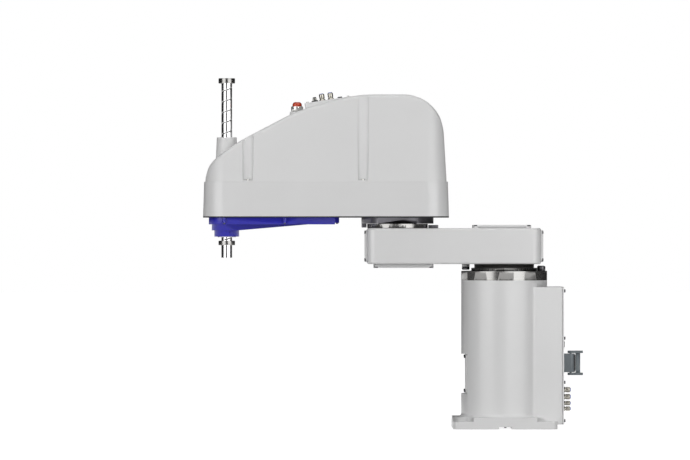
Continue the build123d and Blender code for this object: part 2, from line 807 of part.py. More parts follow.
def arm2_casting():
    body = extrude(Pos(0, 0, pan_low) * pan_outline(0), amount=pan_h, taper=pan_draft)
    body = fillet(body.edges().group_by(Axis.Z)[0], pan_edge_r)
    lean = pan_h * tan(radians(pan_draft))
    hollow = extrude(Pos(0, 0, floor_top) * pan_outline(pan_wall + lean), amount=pan_h)
    body -= hollow
    seat = tube(support_r + pan_wall, 0, pan_low, support_top - support_flange_h, tool_x)
    bosses = [tube(boss_r, 0, floor_top - 1, pan_top, x, y) for x, y in hood_screw_points()]
    fill = seat
    for boss in bosses:
        fill += boss
    x0, x1 = j2_x + motor2_size * 0.7, turn_motor_x - motor4_size * 0.6
    ribs = block(x0, x1, -rib_t / 2, rib_t / 2, floor_top - 1, floor_top + rib_h)
    outside = extrude(Pos(0, 0, pan_low) * pan_outline(0), amount=pan_h, taper=pan_draft)
    body += (fill + ribs) & outside
    body -= tube(support_r + fit_gap, 0, pan_low - 1, support_top + 1, tool_x)
    body -= tube(turn_pilot_r, 0, pan_low - 1, floor_top + 1, turn_motor_x)
    body -= tube(j2_cable_r, 0, pan_low - 1, floor_top + 1, j2_x)
    holes = [spot * shank_hole(M6_CAP[0], M6_CAP[3]) for spot in j2_bolt_spots()]
    holes += [spot * shank_hole(M4_PAN[0], 14) for spot in hood_screw_spots()]
    holes += [spot * shank_hole(M3_SMALL[0], belt_screw_len) for spot in belt_cover_screw_spots()]
    return body - holes


def hood_screw_points():
    """Screw positions in the flutes, one pair for each flute station."""
    spots = []
    for x in flute_x:
        y = side_y(x, hood_inset) + flute_out - flute_low_r * 0.5
        spots += [(x, y), (x, -y)]
    return spots


def hood_screw_spots():
    return [Pos(x, y, pan_top + flute_foot) for x, y in hood_screw_points()]


def corner_radii(points, wanted):
    """The wanted radii at the inner points, each kept within the straight sides that it joins."""
    steps = list(zip(points, points[1:]))
    sides = [hypot(b[0] - a[0], b[1] - a[1]) for a, b in steps]
    aims = [atan2(b[1] - a[1], b[0] - a[0]) for a, b in steps]
    turns = [abs((b - a + pi) % (2 * pi) - pi) for a, b in zip(aims, aims[1:])]
    used = [0, *(r * tan(turn / 2) for r, turn in zip(wanted, turns)), 0]
    room = [side * 0.995 / (a + b) for side, a, b in zip(sides, used, used[1:])]
    return [r * min(1, a, b) for r, a, b in zip(wanted, room, room[1:])]


def hood_profile(inset):
    """The hood seen from the side: an upright nose, two rising slopes, a flat top and a round back."""
    nose = tool_x + nose_r - hood_inset + 0.3
    back = j2_x - pan_back + hood_inset - 0.3
    lean = tan(radians(hood_draft))
    points = [(nose + 20 * lean, pan_top - 20), (nose - hood_nose_h * lean, pan_top + hood_nose_h)]
    points += [(tool_x + x, pan_top + z) for x, z in hood_slope]
    points += [(j2_x + hood_crest_x, hood_top), (back + hood_h * lean, hood_top)]
    points.append((back - 20 * lean, pan_top - 20))
    outline = FilletPolyline(*points, radius=corner_radii(points, [*hood_radii, hood_rear_r]))
    face = make_face([outline, Line(points[-1], points[0])])
    if inset:
        face = offset(face, -inset)
    return face


def hood_form(inset, low):
    """The hood's solid form, pulled in all round by a wall."""
    plan = extrude(Pos(0, 0, low) * pan_outline(hood_inset + inset), amount=hood_h + 20, taper=hood_draft)
    upright = Plane(origin=(0, nose_r * 3, 0), x_dir=(1, 0, 0), z_dir=(0, -1, 0))
    return plan & extrude(upright * hood_profile(inset), amount=nose_r * 6)


def flute(x, side, wall):
    """The cut of one flute, or of the wall round it."""
    y = side * (side_y(x, hood_inset) + flute_out)
    cone = Cone(flute_low_r + wall, flute_top_r + wall, hood_h)
    return Pos(x, y, pan_top + flute_foot + hood_h / 2) * cone


def hump(wall):
    """The raised seat of the connector panel, or the hollow inside it."""
    outline = RectangleRounded(panel_len - 2 * wall, panel_wid - 2 * wall, panel_edge)
    return PANEL * extrude(Pos(0, 0, -hump_depth) * outline, amount=hump_depth - wall)


def arm2_cover():
    outer = hood_form(0, pan_top)
    outer += Pos(tool_x, 0, pan_top + chimney_h / 2) * Cone(chimney_low_r, chimney_top_r, chimney_h)
    outer += tube(lamp_boss_r, 0, pan_top + lamp_seat - lamp_boss_deep, pan_top + lamp_seat, lamp_x)
    outer += hump(0)
    outer -= PANEL * extrude(RectangleRounded(panel_len, panel_wid, panel_edge), amount=hump_depth)
    inner = hood_form(hood_wall, pan_top - 1)
    for x in flute_x:
        for side in (-1, 1):
            outer -= flute(x, side, 0)
            inner -= flute(x, side, hood_wall)
            inner -= Pos(x, side * (side_y(x, hood_inset) + flute_out), pan_top) * Cylinder(
                flute_low_r + hood_wall, 2 * flute_foot
            )
    inner += tube(chimney_bore_r, 0, pan_top - 1, pan_top + chimney_h + 1, tool_x)
    seat = pan_top + lamp_seat
    inner += tube(lamp_boss_r - hood_wall, 0, seat - lamp_boss_deep - 15, seat - hood_wall, lamp_x)
    inner += hump(hood_wall)
    body = outer - inner
    body -= tube(lamp_stem_r + seat_gap, 0, seat - 10, seat + 1, lamp_x)
    body -= tube(lamp_base_r + 1, 0, seat, seat + 30, lamp_x)
    body -= PANEL * Box(panel_len - 2 * hump_rim - 6, panel_wid - 2 * hump_rim - 4, 4 * hood_wall)
    holes = [spot * shank_hole(M4_PAN[0], 14) for spot in hood_screw_spots()]
    holes += [spot * shank_hole(M3_SMALL[0], M3_SMALL[3]) for spot in panel_screw_spots()]
    return body - holes


def lamp_base():
    low = pan_top + lamp_seat
    body = tube(lamp_base_r, 0, low, low + lamp_base_h, lamp_x)
    body = chamfer(body.edges().sort_by(Axis.Z)[-1], 1.0)
    body += tube(lamp_stem_r, 0, low - 8, low + 1, lamp_x)
    return body - tube(lamp_lens_r, 0, low + lamp_base_h - lamp_lip, low + lamp_base_h + 1, lamp_x)


def lamp_lens():
    low = pan_top + lamp_seat + lamp_base_h - lamp_lip
    body = tube(lamp_lens_r - fit_gap, 0, low, low + lamp_lens_h + lamp_lip, lamp_x)
    return fillet(body.edges().sort_by(Axis.Z)[-1], 7.0)


def panel_screw_spots():
    return [PANEL * Pos(x, y, panel_t) for x, y in corners(2 * panel_screw_x, 2 * panel_screw_y)]


def user_fitting_spots():
    """Air fittings on the panel, with the radius of each."""
    return [
        (PANEL * Pos(12.6, 18.0, panel_t), fit_big_r),
        (PANEL * Pos(13.4, -18.0, panel_t), fit_small_r),
        (PANEL * Pos(-7.6, 18.0, panel_t), fit_big_r),
        (PANEL * Pos(-7.6, -18.0, panel_t), fit_small_r),
    ]


def user_panel():
    plate = PANEL * extrude(RectangleRounded(panel_len - 1, panel_wid - 1, panel_edge), amount=panel_t)
    holes = [spot * shank_hole(M3_SMALL[0], M3_SMALL[3]) for spot in panel_screw_spots()]
    holes += [spot * Cylinder(fit_stem_r + seat_gap, 4 * panel_t) for spot, _ in user_fitting_spots()]
    for x, y, half_l, half_w, _ in user_socket_places():
        holes.append(PANEL * Pos(x, y, 0) * Box(2 * half_l, 2 * half_w, 6 * panel_t))
    holes.append(PANEL * Pos(button_x, button_y, 0) * Cylinder(button_r + 0.3, 4 * panel_t))
    return plate - holes


def user_socket_places():
    """Sockets on the panel: centre, half sizes of the hole and height of the shell."""
    return [(30.0, 16.5, 5.5, 9.0, 11.0), (30.0, -16.5, 5.5, 9.0, 11.0)]


def socket_body(half_l, half_w, height, back):
    """A D-shaped socket: flange on the plate, shell above and body through the hole."""
    flange = Pos(0, 0, 1.0) * Box(2 * half_l + 6, 2 * half_w + 12, 2.0)
    shell = extrude(RectangleRounded(2 * half_l - 0.6, 2 * half_w - 0.6, 2.5), amount=height)
    stem = Pos(0, 0, -back / 2) * Box(2 * half_l - 0.4, 2 * half_w - 0.4, back)
    return flange + shell + stem


def user_connectors():
    places = user_socket_places()
    return group([PANEL * Pos(x, y, panel_t) * socket_body(*size, 8.0) for x, y, *size in places])


def fitting(body_r, length):
    """A push-in air fitting standing on the XY plane: flared nut, neck, body and threaded stem."""
    nut = Pos(0, 0, 2.0) * Cone(body_r + 2.4, body_r - 0.8, 4.0)
    neck = Pos(0, 0, 5.0) * Cylinder(body_r - 0.8, 3.0)
    body = Pos(0, 0, 6.0 + (length - 6.0) / 2) * Cylinder(body_r, length - 6.0)
    body = fillet(body.edges().sort_by(Axis.Z)[-1], 1.6)
    stem = Pos(0, 0, -fit_stem_r) * Cylinder(fit_stem_r, 2 * fit_stem_r)
    return nut + neck + body + stem - Pos(0, 0, length - 1.5) * Cylinder(body_r - fit_lip, 3.2)


def release_ring(body_r, length):
    """The collar that frees the tube, seated in the fitting's mouth."""
    outer = body_r - fit_lip - fit_gap
    ring = Pos(0, 0, length - 3.1 + 2.2) * Cylinder(outer, 4.4)
    return ring - Pos(0, 0, length + 1) * Cylinder(outer - 1.4, 5.0)


def fitting_rows():
    return [(fit_z[0], fit_big_r), (fit_z[1], fit_big_r), (fit_z[2], fit_small_r), (fit_z[3], fit_small_r)]


def base_fitting_spots():
    return [(Location((rear_face, fit_y, z), (0, -90, 0)), r) for z, r in fitting_rows()]


def base_air_fittings():
    return group([spot * fitting(r, fit_len) for spot, r in base_fitting_spots()])


def base_fitting_rings():
    return group([spot * release_ring(r, fit_len) for spot, r in base_fitting_spots()])


def arm_air_fittings():
    return group([spot * fitting(r, fit_len) for spot, r in user_fitting_spots()])


def arm_fitting_rings():
    return group([spot * release_ring(r, fit_len) for spot, r in user_fitting_spots()])


def brake_release_button():
    cap = tube(button_r, 0, -button_travel - 1.0, panel_t + button_h)
    cap = fillet(cap.edges().sort_by(Axis.Z)[-1], 1.2)
    cap += tube(button_r + 1.6, 0, -button_travel - 2.5, -0.05)
    return PANEL * Pos(button_x, button_y, 0) * cap


def arm2_cover_screws():
    big = [spot * screw(*M4_PAN) for spot in hood_screw_spots()]
    return group(big + [spot * screw(*M3_SMALL) for spot in panel_screw_spots()])


def j2_motor():
    motor = servo(motor2_size, motor2_h, motor2_cap_h, 0, 0, 0, 0)
    clear = M6_CAP[2] + 1
    return Pos(j2_x, 0, floor_top + clear) * motor + tube(30, 0, floor_top, floor_top + clear + 1, j2_x)


def z_motor():
    low = bridge_low + bridge_t
    body = servo(motor3_size, motor3_h, 0, pilot_r, bridge_t, motor_shaft_r, low - lift_belt_z)
    return Pos(lift_motor_x, 0, low) * body


def z_motor_brake():
    low = bridge_low + bridge_t + motor3_h
    top = low + motor3_brake_h
    brake = tube(motor3_size * 0.45, 0, low, top, lift_motor_x)
    return brake + slab(motor3_size * 0.8, motor3_size * 0.8, 8, top, top + motor3_cap_h, lift_motor_x)


def z_motor_bracket():
    top = bridge_low + bridge_t
    x0, x1 = lift_motor_x - bridge_len / 2, lift_motor_x + bridge_len / 2
    body = block(x0, x1, -bridge_half_w, bridge_half_w, bridge_low, top)
    for side in (-1, 1):
        edge = side * bridge_half_w
        body += block(x0, x1, edge - side * bridge_leg_t, edge, floor_top, top)
        body += block(x0 + 8, x1 - 8, edge - side * bridge_foot_w, edge, floor_top, floor_top + bridge_t)
    return body - tube(pilot_r + fit_gap, 0, bridge_low - 1, top + 1, lift_motor_x)


def z_motor_pulley():
    return Pos(lift_motor_x, 0, lift_belt_z) * pulley(lift_motor_teeth, motor_shaft_r + fit_gap)


def z_belt():
    return Pos(tool_x, 0, lift_belt_z) * belt(lift_nut_teeth, lift_motor_teeth, lift_motor_back)


def u_motor():
    reach = floor_top - turn_belt_z
    pilot = turn_pilot_r - fit_gap
    motor = servo(motor4_size, motor4_h, motor4_cap_h, pilot, pan_floor - 1, motor_shaft_r, reach)
    return Pos(turn_motor_x, 0, floor_top) * motor


def u_motor_pulley():
    return Pos(turn_motor_x, 0, turn_belt_z) * pulley(turn_motor_teeth, motor_shaft_r + fit_gap)


def u_belt():
    return Pos(tool_x, 0, turn_belt_z) * belt(spline_teeth, turn_motor_teeth, turn_motor_back)


def spline_nut_support():
    body = tube(support_r, 0, pan_low + 1, support_top, tool_x)
    body += tube(support_flange_r, 0, support_top - support_flange_h, support_top, tool_x)
    return body - tube(nut_race_r + fit_gap, 0, pan_low, support_top + 1, tool_x)


def ball_nut_support():
    body = tube(support_flange_r, 0, support_top, support_top + support_flange_h, tool_x)
    body += tube(support_r, 0, support_top, ball_support_top, tool_x)
    return body - tube(nut_race_r + fit_gap, 0, support_top - 1, ball_support_top + 1, tool_x)


def spline_nut():
    body = tube(nut_r, 0, spline_nut_low, support_top - run_gap, tool_x)
    body += tube(nut_race_r, 0, pan_low + 1 + run_gap, support_top - run_gap, tool_x)
    body -= tube(shaft_r + fit_gap, 0, spline_nut_low - 1, support_top + 1, tool_x)
    key = Pos(shaft_r, 0) * Rectangle(2 * (spline_depth - 0.4), spline_w - 0.6)
    for spin in PolarLocations(0, spline_count):
        body += Pos(tool_x, 0, spline_nut_low) * spin * extrude(key, amount=support_h)
    return body


def spline_nut_pulley():
    return Pos(tool_x, 0, turn_belt_z) * pulley(spline_teeth, nut_r + fit_gap)


def ball_nut():
    low = support_top + run_gap
    body = tube(nut_race_r, 0, low, ball_support_top - run_gap, tool_x)
    body += tube(nut_r, 0, low, low + ball_nut_h, tool_x)
    return body - tube(shaft_r + fit_gap, 0, low - 1, low + ball_nut_h + 1, tool_x)


def ball_nut_pulley():
    return Pos(tool_x, 0, lift_belt_z) * pulley(lift_nut_teeth, nut_r + fit_gap)


def tool_shaft():
    bar = tube(shaft_r, 0, shaft_low, shaft_high, tool_x)
    bar = chamfer(bar.edges().group_by(Axis.Z)[0], 0.8)
    bar -= tube(shaft_bore_r, 0, shaft_low - 1, shaft_high + 1, tool_x)
    bar -= tube(shaft_r + 1, shaft_r - ring_groove_depth, low_ring_z, low_ring_z + ring_groove_w, tool_x)
    groove = Pos(shaft_r, 0) * Rectangle(2 * spline_depth, spline_w)
    start = Pos(tool_x, 0, shaft_low + shaft_end)
    cut = extrude(groove, amount=shaft_high - ring_h - shaft_low - shaft_end)
    return bar - [start * spin * cut for spin in PolarLocations(0, spline_count)]


def clamp_ring(low, height):
    """A split ring that clamps the shaft, with its screw across the slit."""
    ring = tube(ring_r, shaft_r + fit_gap, low, low + height, tool_x)
    rims = ring.edges().filter_by(GeomType.CIRCLE).filter_by(lambda e: abs(e.radius - ring_r) < 0.01)
    ring = chamfer(rims, 0.7)
    x0, x1 = tool_x - ring_r - 1, tool_x - shaft_r + 2
    cut = block(x0, x1, -ring_slit / 2, ring_slit / 2, low - 1, low + height + 1)
    return ring - cut


def upper_stop_ring():
    return clamp_ring(shaft_high - ring_h, ring_h)


def lower_stop_ring():
    return clamp_ring(low_ring_z, low_ring_h)


def tray_outline(inset):
    """The belt cover seen from above: round nose, straight sides, then sides that close in."""
    r = tray_r - inset
    kink = (tool_x - tray_kink_back, r)
    end = (tool_x - tray_end_back + inset, tray_end_half - inset)
    left = [Line((tool_x, r), kink), Line(kink, end)]
    right = [Line((tool_x, -r), (kink[0], -r)), Line((kink[0], -r), (end[0], -end[1]))]
    return make_face(left + right + [Line(end, (end[0], -end[1])), arc((tool_x, 0), r, -90, 90)])


def keel(inset):
    """The deeper part of the belt cover, round the nut and fading out towards the motor."""
    r = keel_r - inset
    top = pan_low - tray_h
    deep = top - keel_h + inset
    points = [
        (tool_x + keel_r + 10, top + 1 + 3 * inset),
        (tool_x + keel_r + 10, deep),
        (tool_x - keel_flat_back, deep),
        (tool_x - keel_end_back + 4 * inset, top),
        (tool_x - keel_end_back + 4 * inset, top + 1 + 3 * inset),
    ]
    upright = Plane(origin=(0, keel_r * 2, 0), x_dir=(1, 0, 0), z_dir=(0, -1, 0))
    side = extrude(upright * make_face(Polyline(*points, close=True)), amount=keel_r * 4)
    low = Pos(0, 0, deep - 1) * SlotCenterToCenter(keel_end_back * 2, 2 * r)
    return side & extrude(Pos(tool_x - keel_end_back, 0) * low, amount=keel_h + 6 * inset + 4)


def belt_cover_screw_spots():
    spots = []
    for back in (-ear_front, ear_back):
        for side in (-1, 1):
            spots.append(Location((tool_x - back, side * (tray_r + ear_out), pan_low - ear_h), (180, 0, 0)))
    spots.append(Location((tool_x - tray_end_back - tab_len / 2, 0, pan_low - tab_h), (180, 0, 0)))
    return spots


def belt_cover():
    top = pan_low - tray_h
    body = extrude(Pos(0, 0, top) * tray_outline(0), amount=tray_h)
    body += keel(0)
    body += tube(spout_r, 0, top - keel_h - spout_h, top, tool_x)
    end = tool_x - tray_end_back
    body += block(end - tab_len, end + tray_wall, -tab_half, tab_half, pan_low - tab_h, pan_low)
    for spot in belt_cover_screw_spots()[:4]:
        body += tube(ear_r, 0, pan_low - ear_h, pan_low, spot.position.X, spot.position.Y)
    body -= extrude(Pos(0, 0, top + tray_wall) * tray_outline(tray_wall), amount=tray_h)
    body -= keel(tray_wall)
    body -= tube(spout_r - tray_wall, 0, top - keel_h - spout_h + tray_wall, top, tool_x)
    body -= tube(spout_bore_r, 0, top - keel_h - spout_h - 1, top, tool_x)
    return body - [spot * shank_hole(M3_SMALL[0], belt_screw_len) for spot in belt_cover_screw_spots()]


def belt_cover_screws():
    return group([spot * screw(*M3_SMALL[:3], belt_screw_len) for spot in belt_cover_screw_spots()])


def base_power_connector():
    """Rear receptacle with a rectangular mouth, open to the rear, and a pin at each end for its lever."""
    half = plug_h / 2
    pivot = rear_face - lever_pivot_out
    back = pivot - plug_half_w
    body = block(pivot, rear_face, -plug_half_w, plug_half_w, plug_z - half, plug_z + half)
    body += tube(plug_half_w, 0, plug_z - half, plug_z + half, pivot)
    body += block(rear_face - 3, rear_face, -plug_half_w - 7, plug_half_w + 7, plug_z - half, plug_z + half)
    mouth_w, mouth_h = plug_half_w - plug_wall, half - plug_wall
    body -= block(back - 1, back + plug_depth, -mouth_w, mouth_w, plug_z - mouth_h, plug_z + mouth_h)
    reach = half + lever_gap + lever_arm_t
    pin = tube(2.5, 0, plug_z - reach, plug_z + reach, pivot)
    pin -= block(pivot - 5, pivot + 5, -5, 5, plug_z - half + 0.5, plug_z + half - 0.5)
    low, high = plug_z - plug_stem_h, plug_z + plug_stem_h
    stem = block(rear_face, -box_back + 6, -plug_stem_w, plug_stem_w, low, high)
    return body + pin + stem


def base_connector_insert():
    back = rear_face - lever_pivot_out - plug_half_w + plug_depth
    mouth_w, mouth_h = plug_half_w - plug_wall, plug_h / 2 - plug_wall
    half_w, half_h = mouth_w - seat_gap, mouth_h - seat_gap
    body = block(back - insert_t, back, -half_w, half_w, plug_z - half_h, plug_z + half_h)
    holes = []
    for i in range(5):
        for side in (-1, 1):
            spot = Pos(back - insert_t, side * 3.6, plug_z + (i - 2) * 6.4) * Rot(0, 90, 0)
            holes.append(spot * Cylinder(1.4, insert_t))
    return body - holes


def connector_lever():
    """A bail that swings over the receptacle: two arms on pins and a bar between them."""
    half = plug_h / 2 + lever_gap
    pivot = rear_face - lever_pivot_out
    front, back = rear_face - lever_front_out, rear_face - lever_back_out
    body = None
    for low in (plug_z + half, plug_z - half - lever_arm_t):
        arm = block(back, pivot, -lever_arm_half, lever_arm_half, low, low + lever_arm_t)
        arm += tube(lever_arm_half, 0, low, low + lever_arm_t, pivot)
        arm -= tube(2.5 + fit_gap, 0, low - 1, low + lever_arm_t + 1, pivot)
        body = arm if body is None else body + arm
    web = rear_face - lever_web_out
    low, high = plug_z - half - 1, plug_z + half + 1
    bar = block(web, rear_face - lever_web_in, -lever_web_half, lever_web_half, low, high)
    grip = half * 0.72
    bar -= block(web - 1, web + 6, lever_web_half - 2.0, lever_web_half + 1, plug_z - grip, plug_z + grip)
    return body + bar


def socket_places():
    """Sockets on the rear plate: centre, half sizes of the hole and height of the shell."""
    return [(*place, socket_proud) for place in rear_sockets]


def base_user_connectors():
    pieces = []
    for y, z, half_w, half_h, height in socket_places():
        spot = Location((rear_face, y, z), (0, -90, 0))
        flange = Pos(0, 0, 0.6) * Box(2 * half_h + 8, 2 * half_w + 5, 1.2)
        shell = extrude(RectangleRounded(2 * half_h - 0.6, 2 * half_w - 0.6, 2.0), amount=height)
        stem = Pos(0, 0, -5) * Box(2 * half_h - 0.4, 2 * half_w - 0.4, 10)
        pieces.append(spot * (flange + shell + stem))
    return group(pieces)


NODES = [
    base_casting, base_front_cover, base_rear_panel, base_cover_screws, base_ground_screw,
    j1_reducer_housing, j1_housing_screws, j1_fixed_stops, j1_motor, base_power_connector,
    base_connector_insert, base_user_connectors, base_air_fittings, base_fitting_rings, connector_lever,
    arm1_casting, arm1_top_cover, arm1_bottom_cover, arm1_end_caps, arm1_cover_screws,
    j1_output_flange, j1_output_screws, j1_moving_stop, j2_reducer_housing, j2_housing_screws, j2_fixed_stop,
    arm2_casting, arm2_cover, arm2_cover_screws, j2_output_flange, j2_output_screws, j2_moving_stop,
    j2_motor, z_motor, z_motor_brake, z_motor_bracket, u_motor, z_belt, u_belt,
    spline_nut_support, ball_nut_support, belt_cover, belt_cover_screws, user_panel, user_connectors,
    arm_air_fittings, arm_fitting_rings, lamp_base, lamp_lens, brake_release_button,
    spline_nut, spline_nut_pulley, ball_nut, ball_nut_pulley, z_motor_pulley, u_motor_pulley,
    tool_shaft, upper_stop_ring, lower_stop_ring,
]

os.makedirs("parts", exist_ok=True)
for make in NODES:
    export_step(make(), f"parts/{make.__name__}.step")
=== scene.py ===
import json
import math
import bmesh
import bpy
import numpy as np
from mathutils import Matrix, Vector


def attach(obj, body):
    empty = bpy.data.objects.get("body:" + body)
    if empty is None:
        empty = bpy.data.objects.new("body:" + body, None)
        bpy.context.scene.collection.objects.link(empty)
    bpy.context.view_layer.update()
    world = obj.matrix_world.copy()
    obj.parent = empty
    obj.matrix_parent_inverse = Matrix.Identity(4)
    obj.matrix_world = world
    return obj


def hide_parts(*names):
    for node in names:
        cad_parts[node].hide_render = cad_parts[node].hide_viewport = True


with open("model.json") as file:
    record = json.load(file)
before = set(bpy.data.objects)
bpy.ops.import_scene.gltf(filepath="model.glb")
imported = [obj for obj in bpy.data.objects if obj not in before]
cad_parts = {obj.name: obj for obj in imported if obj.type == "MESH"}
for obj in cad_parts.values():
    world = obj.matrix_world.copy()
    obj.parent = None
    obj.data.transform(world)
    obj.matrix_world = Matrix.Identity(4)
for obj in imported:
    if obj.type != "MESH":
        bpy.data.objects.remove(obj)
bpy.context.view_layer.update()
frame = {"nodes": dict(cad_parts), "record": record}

# Four-axis SCARA arm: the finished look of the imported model. Metres, +X forward along the arm, +Z up.
mm = 0.001
nodes = frame["nodes"]
slotOf = {row["node"]: row["material_slot"] for row in frame["record"]["subparts"]}
bodyOf = {name: body for body, names in frame["record"]["behaviour"]["bodies"].items() for name in names}
print("stage: frame loaded,", len(nodes), "nodes")


# Camera and light
studio = {
    "viewWidth": 1.6170,  # metres of the scene across the picture
    "aim": (0.3729, 0.0, 0.4636),
    "distance": 14.0,
    "worldFill": 0.26,  # strength of the soft light from all round
    "floorTone": 0.42, "floorGlow": 0.90,
    "flagHeights": (-0.6, 3.6), "flagTone": 0.02,
}
# Power in watts, size and place in metres. A lamp that mirrors see also gives metal its bright bands.
lamps = {
    "leftBox": {"power": 24.0, "size": (1.85, 2.2), "place": (2.0, 1.7, 0.75), "aim": (0.35, 0, 0.6),
                "mirrored": True},
    "rightBox": {"power": 30.0, "size": (2.25, 2.0), "place": (-1.1, 1.9, 0.35), "aim": (0.0, 0, 0.3),
                 "mirrored": True},
    "frontKey": {"power": 45.0, "size": (3.0, 2.5), "place": (0.6, 6.0, 2.2), "aim": (0.37, 0, 0.5),
                 "mirrored": False},
    "topBox": {"power": 21.0, "size": (3.0, 2.0), "place": (0.4, 0.6, 3.2), "aim": (0.37, 0, 0.5),
               "mirrored": True},
}


def placeCamera():
    data = bpy.data.cameras.new("camera")
    data.sensor_width = 36.0
    data.lens = data.sensor_width * studio["distance"] / studio["viewWidth"]
    data.clip_start, data.clip_end = 0.1, 200.0
    cam = bpy.data.objects.new("camera", data)
    bpy.context.scene.collection.objects.link(cam)
    cam.location = Vector(studio["aim"]) + Vector((0, studio["distance"], 0))
    cam.rotation_euler = (math.radians(90), 0, math.radians(180))
    bpy.context.scene.camera = cam


def placeLamp(name, look):
    data = bpy.data.lights.new(name, "AREA")
    data.shape, data.size, data.size_y = "RECTANGLE", *look["size"]
    data.energy = look["power"]
    lamp = bpy.data.objects.new(name, data)
    bpy.context.scene.collection.objects.link(lamp)
    lamp.location = look["place"]
    way = Vector(look["place"]) - Vector(look["aim"])
    lamp.rotation_euler = way.to_track_quat("Z", "Y").to_euler()
    lamp.visible_camera = False
    lamp.visible_glossy = look["mirrored"]


# 1 for camera, mirror and glass rays, 0 for the rays that light the object
def seenByEye(tree):
    path = tree.nodes.new("ShaderNodeLightPath")
    first = tree.nodes.new("ShaderNodeMath")
    first.operation = "MAXIMUM"
    tree.links.new(path.outputs["Is Camera Ray"], first.inputs[0])
    tree.links.new(path.outputs["Is Glossy Ray"], first.inputs[1])
    second = tree.nodes.new("ShaderNodeMath")
    second.operation = "MAXIMUM"
    tree.links.new(first.outputs[0], second.inputs[0])
    tree.links.new(path.outputs["Is Transmission Ray"], second.inputs[1])
    return second.outputs[0]


def buildWorld():
    world = bpy.data.worlds.new("studio")
    bpy.context.scene.world = world
    world.use_nodes = True
    tree = world.node_tree
    span = tree.nodes.new("ShaderNodeMapRange")
    span.inputs["To Min"].default_value = studio["worldFill"]
    span.inputs["To Max"].default_value = 1.0
    tree.links.new(seenByEye(tree), span.inputs["Value"])
    back = tree.nodes["Background"]
    back.inputs["Color"].default_value = (1, 1, 1, 1)
    tree.links.new(span.outputs["Result"], back.inputs["Strength"])


def buildFloor():
    half = 30.0
    mesh = bpy.data.meshes.new("floor")
    mesh.from_pydata([(-half, -half, 0), (half, -half, 0), (half, half, 0), (-half, half, 0)], [],
                     [(0, 1, 2, 3)])
    floor = bpy.data.objects.new("floor", mesh)
    floor.location.z = -0.0005
    bpy.context.scene.collection.objects.link(floor)
    mat = bpy.data.materials.new("paleFloor")
    mat.use_nodes = True
    tree = mat.node_tree
    shader = tree.nodes["Principled BSDF"]
    shader.inputs["Base Color"].default_value = (*[studio["floorTone"]] * 3, 1)
    shader.inputs["Roughness"].default_value = 0.9
    shader.inputs["Specular IOR Level"].default_value = 0.1
    shader.inputs["Emission Color"].default_value = (1, 1, 1, 1)
    glow = tree.nodes.new("ShaderNodeMath")
    glow.operation = "MULTIPLY"
    glow.inputs[1].default_value = studio["floorGlow"]
    tree.links.new(seenByEye(tree), glow.inputs[0])
    tree.links.new(glow.outputs[0], shader.inputs["Emission Strength"])
    mesh.materials.append(mat)


# Dark studio flags that only mirrors see, so that bright metal has its dark bands.
# Each runs through the points given, in metres on the floor plan.
flagRuns = {
    "frontFlag": ((-0.13, 2.46), (0.3, 2.75), (0.9, 2.7), (1.38, 2.39)),
    "rightFlag": ((-2.07, 1.34), (-2.9, 0.3), (-2.9, -1.0), (-1.7, -2.8)),
    "backFlag": ((-1.7, -2.8), (0.35, -3.4), (2.3, -2.8)),
    "leftFlag": ((2.66, 1.06), (3.4, 0.2), (3.4, -1.0), (2.3, -2.8)),
}


def buildFlags():
    mat = bpy.data.materials.new("darkFlag")
    mat.use_nodes = True
    mat.node_tree.nodes["Principled BSDF"].inputs["Base Color"].default_value = (*[studio["flagTone"]] * 3, 1)
    low, high = studio["flagHeights"]
    for name, run in flagRuns.items():
        verts = [(x, y, z) for x, y in run for z in (low, high)]
        faces = [(2 * i, 2 * i + 1, 2 * i + 3, 2 * i + 2) for i in range(len(run) - 1)]
        mesh = bpy.data.meshes.new(name)
        mesh.from_pydata(verts, [], faces)
        mesh.materials.append(mat)
        flag = bpy.data.objects.new(name, mesh)
        bpy.context.scene.collection.objects.link(flag)
        flag.visible_camera = False
        flag.visible_diffuse = False
        flag.visible_shadow = False
        flag.visible_transmission = False


def buildStudio():
    buildWorld()
    buildFloor()
    buildFlags()
    for name, look in lamps.items():
        placeLamp(name, look)
    bpy.context.scene.view_settings.view_transform = "Standard"


placeCamera()
buildStudio()
print("stage: camera and studio")


